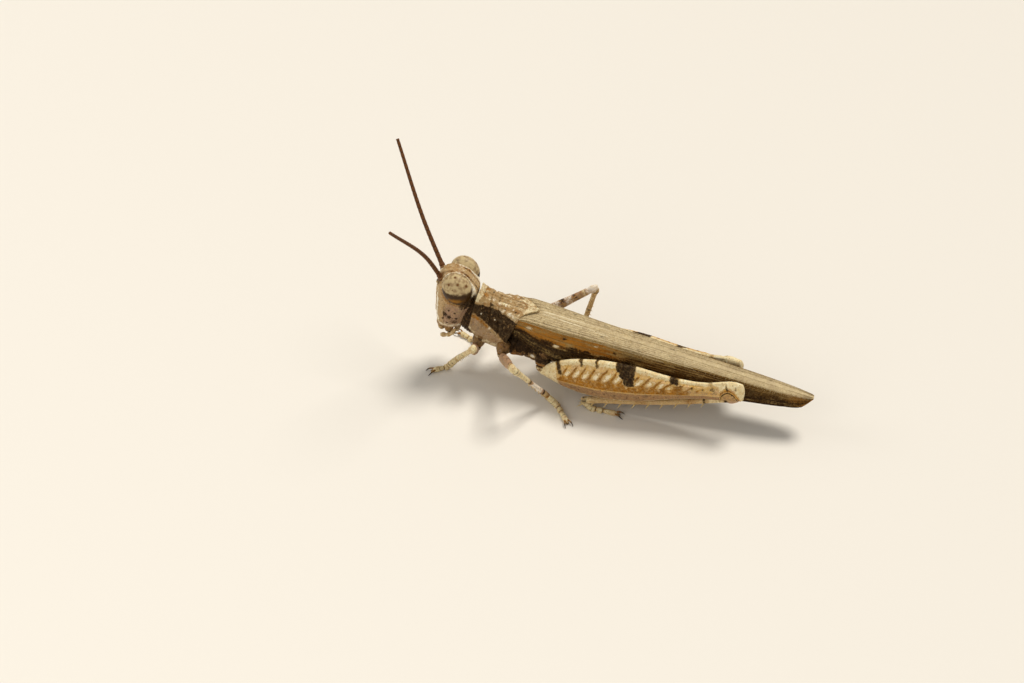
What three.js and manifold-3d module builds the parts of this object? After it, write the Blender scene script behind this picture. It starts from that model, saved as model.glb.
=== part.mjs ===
// A slender sand-coloured band-winged grasshopper, life size, standing with its hind legs folded.
// Millimetres. It faces -Y, its left side is +X and up is +Z. The hind tip of the pronotum is at
// y = 0 while the parts are made; the whole is then moved to stand at the centre of the floor.
import * as THREE from 'three';
import { mergeVertices } from 'three/addons/utils/BufferGeometryUtils.js';
import Module from 'manifold-3d';

const wasm = await Module();
wasm.setup();

// Clearance left where one piece is let into another.
const jointGap = 0.05;
const floorZ = 0;

// Head: a deep, upright head with a nearly vertical face.
const faceY = -8.3;
const napeY = -4.92;
const crownZ = 9.85;
const chinZ = 4.5;
const mouthZ = 3.48;
const cheekHalf = 1.55;
const templeHalf = 1.32;
const eyeCentre = [1.12, -6.42, 8.7];
const eyeHalf = [0.9, 1.19, 1.4];
const eyeLean = 0.16;

// Feelers: a stout base and a long even thread.
const feelerBase = [0.4, -7.78, 8.72];
const feelerHalf = 0.25;
const scapeHalf = 0.34;
const scapeLength = 0.95;

// Pronotum: a saddle-shaped shield, pinched in front and spread behind.
const shieldFrontY = -4.78;
const shieldCheekY = -5.4;
const shieldThick = 0.4;
const shieldTopFront = 8.32;
const shieldTopMid = 7.5;
const shieldTopHind = 7.1;
const lobeLowZ = 3.9;

// Wings: a flat back with sides folded down like a roof, long past the hind knees.
const wingTipY = 22.1;
const wingThick = 0.5;
const wingTopFront = 7.0;
const wingTopDrop = 0.157;
const wingBackHalf = 1.42;
const wingBackTip = 0.92;
const wingSideDeep = 3.0;
const wingSideTip = 1.1;

// Neck, thorax and abdomen.
const neckFrontY = -5.72;
const thoraxFrontY = -2.8;
const thoraxHindY = 3.1;
const bellyZ = 2.5;
const abdomenTipY = 14.3;

// Height of the middle of a foot over the floor, under its pad and under its toe.
const padZ = 0.21;
const toeZ = 0.19;

// Legs. Each row names the joints of one leg, from the body to the toe, and the sideways lean of
// the upper edge of a jumping thigh.
const legs = {
  fore_left: {
    hip: [0.98, -4.4, 4.7], thigh: [1.35, -4.9, 2.95], knee: [3.4, -4.47, 4.85],
    heel: [1.05, -6.52, 1.25], pad: [1.14, -7.4, padZ], toe: [1.72, -8.2, toeZ],
  },
  fore_right: {
    hip: [-0.98, -4.4, 4.7], thigh: [-1.35, -4.9, 2.95], knee: [-3.45, -4.35, 4.35],
    heel: [-2.35, -5.6, 0.95], pad: [-2.5, -6.2, padZ], toe: [-3.0, -7.35, toeZ],
  },
  mid_left: {
    hip: [1.5, -2.5, 4.3], thigh: [1.75, -2.65, 3.15], knee: [5.8, -0.52, 5.85],
    heel: [3.0, 1.48, 1.05], pad: [3.0, 2.3, padZ], toe: [4.5, 3.45, toeZ],
  },
  mid_right: {
    hip: [-1.5, -2.5, 4.3], thigh: [-1.75, -2.65, 3.15], knee: [-5.25, 3.2, 5.85],
    heel: [-5.5, 1.95, 0.85], pad: [-5.6, 2.35, padZ], toe: [-6.0, 3.75, toeZ],
  },
  hind_left: {
    hip: [1.35, 0.75, 4.0], thigh: [2.0, 0.65, 2.75], knee: [1.9, 16.9, 4.35],
    heel: [2.5, 4.2, 0.9], pad: [2.5, 4.95, padZ], toe: [2.62, 7.0, toeZ], lean: 0,
  },
  hind_right: {
    hip: [-1.35, 0.75, 4.0], thigh: [-2.0, 0.65, 2.75], knee: [-1.78, 15.9, 3.6],
    heel: [-2.5, 3.9, 0.8], pad: [-2.6, 4.65, padZ], toe: [-2.95, 6.7, toeZ], lean: 0.42,
  },
};
const hindThighDepth = 1.88;
const hindThighThick = 0.74;
const hindShinHalf = 0.3;
const slimThighHalf = 0.42;
const slimShinHalf = 0.3;
const footHalf = 0.27;
const clawLength = 0.75;
const clawHalf = 0.14;

const colours = {
  shell: ['#b9a184', 0.72],
  pale: ['#d8c8a4', 0.7],
  dark: ['#4a3826', 0.62],
  eye: ['#b3aa85', 0.25],
  feeler: ['#6b452c', 0.6],
  wing: ['#b7a57a', 0.6],
  veil: ['#c9bfa2', 0.35],
  leg: ['#cdb893', 0.66],
};

function vec(p) {
  return new THREE.Vector3(...p);
}

function mirrored(p, side) {
  return [p[0] * side, p[1], p[2]];
}

// Smooth value from rows of [place, value, value...] that never swings past its rows.
function eased(rows, t, column = 1) {
  if (t <= rows[0][0]) return rows[0][column];
  const last = rows.length - 1;
  if (t >= rows[last][0]) return rows[last][column];
  let i = 0;
  while (t > rows[i + 1][0]) i += 1;
  const slope = (a, b) => (rows[b][column] - rows[a][column]) / (rows[b][0] - rows[a][0]);
  const span = rows[i + 1][0] - rows[i][0];
  const inner = slope(i, i + 1);
  const calm = (a, b) => (a * b > 0 ? (2 * a * b) / (a + b) : 0);
  const m0 = i === 0 ? inner : calm(slope(i - 1, i), inner);
  const m1 = i + 1 === last ? inner : calm(slope(i + 1, i + 2), inner);
  const u = (t - rows[i][0]) / span;
  const h00 = (1 + 2 * u) * (1 - u) * (1 - u);
  const h10 = u * (1 - u) * (1 - u);
  const h01 = u * u * (3 - 2 * u);
  const h11 = u * u * (u - 1);
  return h00 * rows[i][column] + h10 * span * m0 + h01 * rows[i + 1][column] + h11 * span * m1;
}

function signedVolume(position, index) {
  const a = new THREE.Vector3();
  const b = new THREE.Vector3();
  const c = new THREE.Vector3();
  let total = 0;
  for (let i = 0; i < index.count; i += 3) {
    a.fromBufferAttribute(position, index.getX(i));
    b.fromBufferAttribute(position, index.getX(i + 1));
    c.fromBufferAttribute(position, index.getX(i + 2));
    total += a.dot(b.cross(c)) / 6;
  }
  return total;
}

// Moves every vertex of a closed three.js shape and returns it as a solid that faces out.
function shaped(geometry, move) {
  const source = geometry.clone();
  source.deleteAttribute('normal');
  source.deleteAttribute('uv');
  const merged = mergeVertices(source, 1e-5);
  const position = merged.attributes.position;
  const point = new THREE.Vector3();
  for (let i = 0; i < position.count; i += 1) {
    point.fromBufferAttribute(position, i);
    const moved = move(point);
    position.setXYZ(i, moved.x, moved.y, moved.z);
  }
  const inward = signedVolume(position, merged.index) < 0;
  const corners = Array.from(merged.index.array);
  if (inward) {
    for (let i = 0; i < corners.length; i += 3) {
      const keep = corners[i];
      corners[i] = corners[i + 1];
      corners[i + 1] = keep;
    }
  }
  const mesh = new wasm.Mesh({
    numProp: 3,
    vertProperties: new Float32Array(position.array),
    triVerts: new Uint32Array(corners),
  });
  return new wasm.Manifold(mesh);
}

function geometryOf(solid) {
  const mesh = solid.getMesh();
  const geometry = new THREE.BufferGeometry();
  geometry.setAttribute('position', new THREE.BufferAttribute(new Float32Array(mesh.vertProperties), 3));
  geometry.setIndex(Array.from(mesh.triVerts));
  return geometry;
}

// The largest connected body of a solid, so that no crumb of a cut is kept.
function largest(solid) {
  const pieces = solid.decompose();
  return pieces.reduce((best, piece) => (piece.volume() > best.volume() ? piece : best));
}

// A point of a unit disc moved towards a rounded square; a power of 2 leaves the disc round.
function squared(p, power) {
  const length = Math.hypot(p.x, p.z);
  if (length < 1e-6) return [0, 0];
  const c = p.x / length;
  const s = p.z / length;
  const round = (Math.abs(c) ** power + Math.abs(s) ** power) ** (-1 / power);
  return [c * round * length, s * round * length];
}

// A closed body of rings along a path. Rows give [place, half height, half width] of each ring.
function loft({ path, rows, around, steps = 1, lift = [0, 0, 1], power = 2, grow = 0, bend = null }) {
  const places = [];
  for (let i = 0; i + 1 < rows.length; i += 1) {
    for (let k = 0; k < steps; k += 1) {
      places.push(rows[i][0] + ((rows[i + 1][0] - rows[i][0]) * k) / steps);
    }
  }
  places.push(rows[rows.length - 1][0]);
  const tube = new THREE.CylinderGeometry(1, 1, 1, around, places.length - 1);
  const hint = vec(lift);
  const growT = grow / path.getLength();
  return shaped(tube, (p) => {
    const step = Math.round((p.y + 0.5) * (places.length - 1));
    const t = places[step];
    const reach = Math.min(1, Math.max(0, t));
    const centre = path.getPointAt(reach);
    const ahead = path.getTangentAt(reach);
    const side = new THREE.Vector3().crossVectors(ahead, hint).normalize();
    const up = new THREE.Vector3().crossVectors(side, ahead).normalize();
    const [c, s] = squared(p, power);
    let across = c * (eased(rows, t, 2) + grow);
    let above = s * (eased(rows, t, 1) + grow);
    if (bend) {
      [across, above] = bend(across, above, t);
    }
    let along = 0;
    if (step === 0) along = -growT;
    if (step === places.length - 1) along = growT;
    centre.addScaledVector(ahead, along * path.getLength());
    centre.addScaledVector(side, across);
    centre.addScaledVector(up, above);
    return centre;
  });
}

function line(...points) {
  if (points.length === 2) return new THREE.LineCurve3(vec(points[0]), vec(points[1]));
  return new THREE.CatmullRomCurve3(points.map(vec), false, 'centripetal');
}

function ellipsoid(centre, half, lean, across, down, grow = 0) {
  const ball = new THREE.SphereGeometry(1, across, down);
  const turn = new THREE.Matrix4().makeRotationX(lean);
  return shaped(ball, (p) => new THREE.Vector3(
    p.x * (half[0] + grow),
    p.z * (half[1] + grow),
    p.y * (half[2] + grow),
  ).applyMatrix4(turn).add(vec(centre)));
}

// ---- head ----

// Rings of the head stacked from the mouth edge to the crown: [height, front, back, half width].
const headRows = [
  [chinZ, faceY + 0.06, napeY - 1.36, 1.1],
  [chinZ + 0.5, faceY - 0.03, napeY - 1.06, 1.34],
  [chinZ + 1.6, faceY, napeY - 0.68, cheekHalf],
  [chinZ + 2.7, faceY + 0.04, napeY - 0.23, cheekHalf - 0.1],
  [chinZ + 3.75, faceY + 0.13, napeY, templeHalf],
  [crownZ - 0.7, faceY + 0.3, napeY - 0.5, 1.12],
  [crownZ - 0.2, faceY + 0.64, napeY - 0.98, 0.76],
  [crownZ, faceY + 1.05, napeY - 1.38, 0.42],
];
const headPower = 2.4;
const ridgeHalf = 0.34;
const ridgeRise = 0.13;

function headBody(grow) {
  const rings = headRows.length - 1;
  const tube = new THREE.CylinderGeometry(1, 1, 1, 16, 10);
  return shaped(tube, (p) => {
    const place = (p.y + 0.5) * rings;
    const low = Math.min(rings - 1, Math.floor(place));
    const z = headRows[low][0] + (headRows[low + 1][0] - headRows[low][0]) * (place - low);
    const front = eased(headRows, z, 1) - grow;
    const back = eased(headRows, z, 2) + grow;
    const half = eased(headRows, z, 3) + grow;
    const height = z + (p.y > 0 ? grow : -grow);
    const [c, s] = squared(p, headPower);
    const x = c * half;
    let y = (front + back) / 2 + (s * (back - front)) / 2;
    if (s < 0) {
      y -= ridgeRise * Math.exp(-((x / ridgeHalf) ** 2)) * Math.hypot(p.x, p.z);
    }
    return new THREE.Vector3(x, y, height);
  });
}

function eye(side, grow) {
  const [across, down] = grow > 0 ? [9, 6] : [14, 10];
  return ellipsoid(mirrored(eyeCentre, side), eyeHalf, eyeLean, across, down, grow * 2);
}

// Mouth parts hang in a row below the flat mouth edge of the head, front to back.
const mouthTop = chinZ - jointGap;

function labrum(grow) {
  const top = [0, faceY + 0.24, mouthTop];
  const low = [0, faceY + 0.42, mouthZ];
  const rows = [[0, 0.28, 0.84], [0.5, 0.27, 0.76], [0.85, 0.22, 0.55], [1, 0.1, 0.32]];
  return loft({ path: line(top, low), rows, around: 10, lift: [0, -1, 0], power: 2.6, grow });
}

function mandible(side, grow) {
  const top = mirrored([0.58, faceY + 0.99, mouthTop], side);
  const low = mirrored([0.42, faceY + 1.0, mouthZ + 0.08], side);
  const rows = [[0, 0.4, 0.5], [0.5, 0.38, 0.42], [0.85, 0.3, 0.32], [1, 0.16, 0.16]];
  return loft({ path: line(top, low), rows, around: 9, lift: [0, -1, 0], grow });
}

function labium(grow) {
  const top = [0, faceY + 1.68, mouthTop];
  const low = [0, faceY + 1.6, mouthZ + 0.04];
  const rows = [[0, 0.22, 0.72], [0.5, 0.22, 0.68], [0.85, 0.18, 0.5], [1, 0.1, 0.3]];
  return loft({ path: line(top, low), rows, around: 10, lift: [0, -1, 0], power: 2.4, grow });
}

function palp(side, grow) {
  const root = mirrored([1.0, faceY + 1.72, mouthTop - 0.05], side);
  const knuckle = mirrored([1.16, faceY + 1.2, mouthZ + 0.3], side);
  const end = mirrored([1.04, faceY + 0.55, mouthZ + 0.06], side);
  const rows = [[0, 0.18, 0.18], [0.3, 0.23, 0.2], [0.52, 0.2, 0.18], [0.8, 0.23, 0.2], [1, 0.12, 0.12]];
  return loft({ path: line(root, knuckle, end), rows, around: 7, grow });
}

const feelers = {
  left: [[2.05, -8.7, 12.35], [6.05, -10.2, 17.75]],
  right: [[-2.6, -10.28, 12.1], [-6.05, -13.35, 16.7]],
};

function feelerPath(side) {
  const root = mirrored(feelerBase, side);
  const points = side > 0 ? feelers.left : feelers.right;
  return line(root, ...points);
}

function scape(side, grow) {
  const path = feelerPath(side);
  const share = scapeLength / path.getLength();
  const start = path.getPointAt(0);
  const inward = start.clone().addScaledVector(path.getTangentAt(0), -0.35);
  const end = path.getPointAt(share);
  const rows = [
    [0, scapeHalf - 0.06, scapeHalf - 0.06], [0.35, scapeHalf, scapeHalf],
    [0.68, scapeHalf, scapeHalf], [0.74, 0.27, 0.27], [0.82, 0.3, 0.3], [1, 0.27, 0.27],
  ];
  return loft({ path: line(inward.toArray(), end.toArray()), rows, around: 10, grow });
}

function feeler(side, grow) {
  const path = feelerPath(side);
  const share = (scapeLength + 0.06) / path.getLength();
  const rows = [[share, feelerHalf, feelerHalf], [0.5, feelerHalf + 0.01, feelerHalf + 0.01],
    [0.97, feelerHalf, feelerHalf], [1, 0.15, 0.15]];
  return loft({ path, rows, around: 8, steps: 3, grow });
}

// ---- pronotum ----

const shieldTop = [
  [shieldCheekY, 8.6], [shieldFrontY, shieldTopFront], [-4.2, 8.02], [-2.6, shieldTopMid], [0, shieldTopHind],
];
const shieldHalf = [[shieldCheekY, 1.5], [-4.2, 1.5], [-2.9, 1.66], [-1.4, 1.74], [0, 1.7]];
const shieldLow = [
  [shieldCheekY, 5.3], [-4.85, 4.5], [-4.3, 4.08], [-3.1, lobeLowZ], [-2.3, 4.35], [-1.6, 5.3],
];
const shieldTipRows = [[0, 0], [0.42, -1.28], [0.7, -1.62], [1, -2.35]];
const shieldPower = 2.7;
const keelRise = 0.09;

// A point of the shield: across runs from one lower edge to the other, thick from outside to inside.
function shieldPoint(across, along, inset) {
  const share = Math.abs(across);
  const front = shieldFrontY + (shieldCheekY - shieldFrontY) * share ** 1.6;
  const hind = eased(shieldTipRows, share);
  const y = front + (hind - front) * along;
  const top = eased(shieldTop, y);
  const low = eased(shieldLow, y);
  const angle = across * Math.PI * 0.5;
  const c = Math.sin(angle);
  const s = Math.cos(angle);
  const round = (Math.abs(c) ** shieldPower + Math.abs(s) ** shieldPower) ** (-1 / shieldPower);
  const x = c * round * (eased(shieldHalf, y) - inset);
  const keel = keelRise * Math.exp(-((x / 0.14) ** 2));
  const z = low + s * round * (top - low - inset) + keel;
  return new THREE.Vector3(x, y, z);
}

function pronotum(grow) {
  const sheet = new THREE.BoxGeometry(1, 1, 1, 14, 6, 1);
  return shaped(sheet, (p) => {
    const outer = p.z > 0;
    const inset = outer ? -grow : shieldThick + grow;
    const stretch = 1 + (grow * 2) / 6;
    return shieldPoint(p.x * 2, p.y * stretch + 0.5, inset);
  });
}

// ---- wings ----

const wingBackRows = [[-1.5, wingBackHalf], [0, wingBackHalf], [5, 1.22], [10, 1.1], [18, wingBackTip]];
const wingSideRows = [
  [-1.4, 1.9], [0, 2.65], [2, wingSideDeep], [8, 2.5], [15, 1.9], [17.5, 1.5], [20, wingSideTip],
];
const wingFlareRows = [[-1.4, 0.2], [2, 0.42], [8, 0.4], [16, 0.22], [20, 0.12]];
const wingFoldShare = 0.42;
const wingTipRound = 2.4;
const wingTipSize = 0.64;
const wingFoldRound = 0.14;

function wingTop(y) {
  return wingTopFront - wingTopDrop * y;
}

// Share of full width left near the rounded wing tip.
function tipShare(y, end, run) {
  const past = Math.max(0, (y - (end - run)) / run);
  return Math.sqrt(Math.max(0, 1 - past * past));
}

// A point of a fore wing: from the mid-line across the back, over the fold and down the side.
// The outer wall has a rounded fold, and the inner wall keeps a sharp corner inside it.
function wingPoint(share, y, inset) {
  const tip = tipShare(y, wingTipY, wingTipRound);
  const back = Math.max(wingTipSize, eased(wingBackRows, y) * (0.45 + 0.55 * tip));
  const deep = Math.max(wingTipSize, eased(wingSideRows, y) * tip);
  const flare = eased(wingFlareRows, y);
  const flat = Math.min(share, wingFoldShare) / wingFoldShare;
  const down = Math.max(0, share - wingFoldShare) / (1 - wingFoldShare);
  const round = inset > 0 ? 0 : wingFoldRound * Math.exp(-(((share - wingFoldShare) / 0.12) ** 2));
  const x = jointGap + (back - inset - jointGap) * flat + flare * down - round;
  const z = wingTop(y) - inset - (deep - inset) * down - round * 0.8;
  return [x, z];
}

function foreWing(side, grow) {
  const sheet = new THREE.BoxGeometry(1, 1, 1, 7, 10, 1);
  return shaped(sheet, (p) => {
    const share = p.x + 0.5;
    const edge = -1.28 * Math.min(1, share / wingFoldShare) + 0.12 + 0.35 * Math.max(0, share - 0.7);
    const start = edge - grow;
    const end = wingTipY - 0.9 * Math.max(0, share - wingFoldShare) ** 2 + grow;
    const u = p.y + 0.5;
    const y = start + (end - start) * (1 - (1 - u) ** 1.35);
    const inset = p.z > 0 ? -grow : wingThick + grow;
    const [x, z] = wingPoint(share, Math.min(y, wingTipY), inset);
    return new THREE.Vector3(x * side, y, z);
  });
}

// The fan of a hind wing, folded to a narrow strip that lies under the fore wing.
const fanStartY = 1.2;
const fanEndY = 20.9;
const fanThick = 0.5;

function hindWing(side, grow) {
  const sheet = new THREE.BoxGeometry(1, 1, 1, 2, 8, 1);
  return shaped(sheet, (p) => {
    const u = p.y + 0.5;
    const y = fanStartY + (fanEndY - fanStartY) * u;
    const half = (eased(wingBackRows, y) - wingThick - 0.12) * (0.3 + 0.7 * tipShare(y, fanEndY, 3));
    const x = (jointGap + (half - jointGap) * (p.x + 0.5) + grow * Math.sign(p.x)) * side;
    const under = p.z > 0 ? grow : -fanThick - grow;
    return new THREE.Vector3(x, y, wingTop(y) - wingThick - 0.12 + under);
  });
}

// ---- thorax and abdomen ----

function prothorax(grow) {
  const path = line([0, neckFrontY, 5.7], [0, thoraxFrontY - 0.06, 4.9]);
  const rows = [[0, 1.45, 1.04], [0.3, 1.8, 1.1], [0.62, 1.9, 1.1], [1, 1.95, 1.14]];
  return loft({ path, rows, around: 12, power: 2.5, grow });
}

function thorax(grow) {
  const middle = (bellyZ + wingTopFront - wingThick) / 2;
  const path = line([0, thoraxFrontY, middle + 0.05], [0, thoraxHindY, middle - 0.3]);
  const rows = [[0, 1.6, 1.25], [0.12, 1.85, 1.6], [0.5, 1.85, 1.7], [0.85, 1.65, 1.55], [1, 1.4, 1.2]];
  const bend = (across, above) => {
    const over = Math.min(1, Math.max(0, (above + 0.75) / 0.9));
    return [across * (1 - 0.48 * over), above];
  };
  return loft({ path, rows, around: 14, power: 2.5, grow, bend });
}

const abdomenRings = 7;
const abdomenHigh = 1.22;
const abdomenWide = 1.02;

function abdomenRows() {
  const rows = [];
  for (let i = 0; i < abdomenRings; i += 1) {
    const t = i / abdomenRings;
    const size = 1 - 0.55 * t ** 1.5;
    rows.push([t, abdomenHigh * size * 0.97, abdomenWide * size * 0.97]);
    rows.push([t + 0.85 / abdomenRings, abdomenHigh * size, abdomenWide * size]);
  }
  rows.push([1, abdomenHigh * 0.4, abdomenWide * 0.4]);
  return rows;
}

function abdomen(grow) {
  const path = line([0, thoraxHindY + 0.05, 3.8], [0, 9, 3.35], [0, abdomenTipY, 3.02]);
  return loft({ path, rows: abdomenRows(), around: 11, power: 2.2, grow });
}

function tailPlate(grow) {
  const start = [0, abdomenTipY + 0.06, 2.95];
  const end = [0, abdomenTipY + 1.2, 3.0];
  const rows = [[0, 0.4, 0.42], [0.4, 0.42, 0.42], [0.8, 0.3, 0.3], [1, 0.12, 0.14]];
  return loft({ path: line(start, end), rows, around: 8, grow });
}

function cercus(side, grow) {
  const start = mirrored([0.4, abdomenTipY - 0.3, 3.18], side);
  const end = mirrored([0.5, abdomenTipY + 0.75, 3.1], side);
  const rows = [[0, 0.2, 0.16], [0.5, 0.22, 0.2], [1, 0.1, 0.1]];
  return loft({ path: line(start, end), rows, around: 8, grow });
}

// ---- legs ----

function sideOf(leg) {
  return leg.hip[0] > 0 ? 1 : -1;
}

// Hip joint: the coxa with the small ring of the trochanter at its end.
function hip(leg, grow) {
  const stout = leg.kind === 'hind' ? 1.2 : 1;
  const rows = [[0, 0.5 * stout, 0.48 * stout], [0.45, 0.52 * stout, 0.5 * stout],
    [0.74, 0.4 * stout, 0.4 * stout], [0.8, 0.36 * stout, 0.36 * stout], [1, 0.3 * stout, 0.3 * stout]];
  return loft({ path: line(leg.hip, leg.thigh), rows, around: 8, lift: [0, -1, 0], grow });
}

function slimThigh(leg, grow) {
  const start = vec(leg.thigh).lerp(vec(leg.knee), 0.04).toArray();
  const a = slimThighHalf;
  const rows = [[0, 0.27, 0.25], [0.12, a * 0.86, a * 0.8], [0.4, a, a * 0.88], [0.75, a * 0.76, a * 0.68],
    [0.9, a * 0.74, a * 0.7], [1, 0.2, 0.22]];
  return loft({ path: line(start, leg.knee), rows, around: 8, grow });
}

function slimShin(leg, grow) {
  const knee = vec(leg.knee);
  const heel = vec(leg.heel);
  const start = knee.clone().lerp(heel, 0.045);
  const b = slimShinHalf;
  const rows = [[0, b * 0.8, b * 0.8], [0.06, b * 1.05, b * 1.05], [0.18, b * 0.88, b * 0.88],
    [0.6, b * 0.86, b * 0.86], [0.92, b, b], [1, b * 0.8, b * 0.8]];
  return loft({ path: line(start.toArray(), leg.heel), rows, around: 8, lift: [0, -1, 0.3], grow });
}

// Half depth and half thickness of the jumping thigh, from the hip to the knee lobes.
const hindThighRows = [
  [0, 0.3, 0.28], [0.05, 0.72, 0.45], [0.12, 1.25, 0.6], [0.22, 1.68, 0.7],
  [0.34, hindThighDepth, hindThighThick], [0.48, 1.7, 0.68], [0.6, 1.25, 0.56], [0.7, 0.92, 0.46],
  [0.82, 0.74, 0.38], [0.9, 0.86, 0.42], [0.955, 0.98, 0.45], [1, 0.74, 0.36],
];

function hindThighPath(leg) {
  const side = sideOf(leg);
  const long = leg.knee[1] - leg.thigh[1];
  const rise = leg.knee[2] - leg.thigh[2];
  const belly = [2.46 * side, leg.thigh[1] + long * 0.32, leg.thigh[2] + rise * 0.42];
  const waist = [2.2 * side, leg.thigh[1] + long * 0.7, leg.thigh[2] + rise * 0.64];
  return line(leg.thigh, belly, waist, leg.knee);
}

function hindThigh(leg, grow) {
  const bend = (across, above) => {
    const flat = Math.abs(above) > 0 ? Math.min(1, Math.abs(above) / hindThighDepth) : 0;
    return [across * (1 - 0.22 * flat * flat), above];
  };
  const path = hindThighPath(leg);
  const lift = [leg.lean, 0, 1];
  return loft({ path, rows: hindThighRows, around: 12, lift, power: 2, grow, bend });
}

function hindShin(leg, grow) {
  const side = sideOf(leg);
  const start = [leg.knee[0] + 0.02 * side, leg.knee[1] - 0.42, leg.knee[2] - 0.74];
  const sag = [2.2 * side, (start[1] + leg.heel[1]) / 2, leg.heel[2] + 0.38 * (start[2] - leg.heel[2])];
  const c = hindShinHalf;
  const rows = [[0, c * 0.9, c * 0.86], [0.035, c * 1.25, c * 1.05], [0.1, c * 0.95, c * 0.9],
    [0.3, c * 0.92, c * 0.88], [0.5, c * 0.92, c * 0.88], [0.72, c * 0.94, c * 0.9],
    [0.93, c * 1.02, c], [1, c * 0.8, c * 0.8]];
  return loft({ path: line(start, sag, leg.heel), rows, around: 9, grow });
}

const roomSize = 60;
const aboveFloor = shaped(
  new THREE.BoxGeometry(roomSize, roomSize, roomSize),
  (p) => p.clone().setZ(p.z + floorZ + roomSize / 2),
);

// Three foot joints that rest on flat soles, with a pad and two claws at the end.
function foot(leg, grow) {
  const toe = vec(leg.toe);
  const pad = vec(leg.pad);
  const heel = vec(leg.heel);
  const start = heel.clone().addScaledVector(pad.clone().sub(heel).normalize(), 0.12);
  const middle = pad.clone().lerp(toe, 0.5);
  const f = footHalf;
  const rows = [[0, f * 0.75, f * 0.75], [0.12, f, f], [0.38, f * 1.05, f], [0.46, f * 0.84, f * 0.82],
    [0.93, f, f], [1, f * 0.7, f * 0.6]];
  const path = line(start.toArray(), leg.pad, middle.toArray(), leg.toe);
  let body = loft({ path, rows, around: 7, grow });
  const ahead = toe.clone().sub(pad).setZ(0).normalize();
  const across = new THREE.Vector3(-ahead.y, ahead.x, 0);
  for (const lean of [-1, 1]) {
    const root = toe.clone().addScaledVector(ahead, -0.12).addScaledVector(across, 0.1 * lean);
    const arch = toe.clone().addScaledVector(ahead, clawLength * 0.5).addScaledVector(across, 0.26 * lean);
    const tip = toe.clone().addScaledVector(ahead, clawLength).addScaledVector(across, 0.34 * lean);
    root.z = footHalf * 0.95;
    arch.z = footHalf * 1.0;
    tip.z = clawHalf * 0.6;
    const clawRows = [[0, clawHalf, clawHalf], [0.5, clawHalf * 0.85, clawHalf * 0.85], [1, 0.05, 0.05]];
    const clawPath = line(root.toArray(), arch.toArray(), tip.toArray());
    body = body.add(loft({ path: clawPath, rows: clawRows, around: 4, grow }));
  }
  return body.intersect(aboveFloor);
}

// ---- assembly ----

// Every piece: its name, its colour, how it is made, and the pieces it is let into or cut by.
const pieces = new Map();

function piece(name, colour, make, cutBy = []) {
  pieces.set(name, { colour, make, cutBy });
}

piece('eye_left', 'eye', (grow) => eye(1, grow));
piece('eye_right', 'eye', (grow) => eye(-1, grow));
piece('scape_left', 'feeler', (grow) => scape(1, grow));
piece('scape_right', 'feeler', (grow) => scape(-1, grow));
piece('antenna_left', 'feeler', (grow) => feeler(1, grow));
piece('antenna_right', 'feeler', (grow) => feeler(-1, grow));
piece('labrum', 'pale', labrum);
piece('mandible_left', 'dark', (grow) => mandible(1, grow), ['labrum']);
piece('mandible_right', 'dark', (grow) => mandible(-1, grow), ['labrum', 'mandible_left']);
piece('labium', 'pale', labium, ['mandible_left', 'mandible_right', 'labrum']);
piece('palp_left', 'pale', (grow) => palp(1, grow), ['labium', 'mandible_left']);
piece('palp_right', 'pale', (grow) => palp(-1, grow), ['labium', 'mandible_right']);
piece('head', 'shell', headBody, ['eye_left', 'eye_right', 'scape_left', 'scape_right']);
piece('pronotum', 'shell', pronotum, ['head']);
piece('tegmen_left', 'wing', (grow) => foreWing(1, grow), ['pronotum']);
piece('tegmen_right', 'wing', (grow) => foreWing(-1, grow), ['pronotum']);
piece('hindwing_left', 'veil', (grow) => hindWing(1, grow), ['tegmen_left']);
piece('hindwing_right', 'veil', (grow) => hindWing(-1, grow), ['tegmen_right']);

const legNames = Object.keys(legs);
for (const name of legNames) {
  const leg = legs[name];
  leg.kind = name.split('_')[0];
  piece(`coxa_${name}`, 'shell', (grow) => hip(leg, grow), ['pronotum', `tegmen_${name.split('_')[1]}`]);
}
for (const name of legNames) {
  const leg = legs[name];
  const thigh = leg.kind === 'hind' ? hindThigh : slimThigh;
  const shin = leg.kind === 'hind' ? hindShin : slimShin;
  const wing = `tegmen_${name.split('_')[1]}`;
  piece(`femur_${name}`, 'leg', (grow) => thigh(leg, grow), [`coxa_${name}`, wing]);
  piece(`tibia_${name}`, 'leg', (grow) => shin(leg, grow), [`femur_${name}`]);
  piece(`tarsus_${name}`, 'leg', (grow) => foot(leg, grow), [`tibia_${name}`]);
}
const hips = legNames.map((name) => `coxa_${name}`);
const thighs = legNames.map((name) => `femur_${name}`);
piece('prothorax', 'shell', prothorax, ['pronotum', 'head', ...hips, ...thighs]);
piece('thorax', 'shell', thorax, ['pronotum', 'tegmen_left', 'tegmen_right', 'hindwing_left',
  'hindwing_right', 'prothorax', ...hips, ...thighs]);
piece('cercus_left', 'pale', (grow) => cercus(1, grow));
piece('cercus_right', 'pale', (grow) => cercus(-1, grow));
piece('tail_plate', 'shell', tailPlate, ['cercus_left', 'cercus_right', 'hindwing_left', 'hindwing_right']);
piece('abdomen', 'shell', abdomen, ['thorax', 'cercus_left', 'cercus_right', 'tail_plate', 'tegmen_left',
  'tegmen_right', 'hindwing_left', 'hindwing_right', ...thighs]);

const group = new THREE.Group();
group.name = 'grasshopper';
const solids = [];
for (const [name, { colour, make, cutBy }] of pieces) {
  let solid = make(0);
  for (const other of cutBy) {
    solid = solid.subtract(pieces.get(other).make(jointGap));
  }
  solids.push([name, colour, largest(solid)]);
}

const bounds = new THREE.Box3();
for (const [, , solid] of solids) {
  const box = solid.boundingBox();
  bounds.expandByPoint(vec(box.min));
  bounds.expandByPoint(vec(box.max));
}
const middleX = (bounds.min.x + bounds.max.x) / 2;
const middleY = (bounds.min.y + bounds.max.y) / 2;

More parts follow.
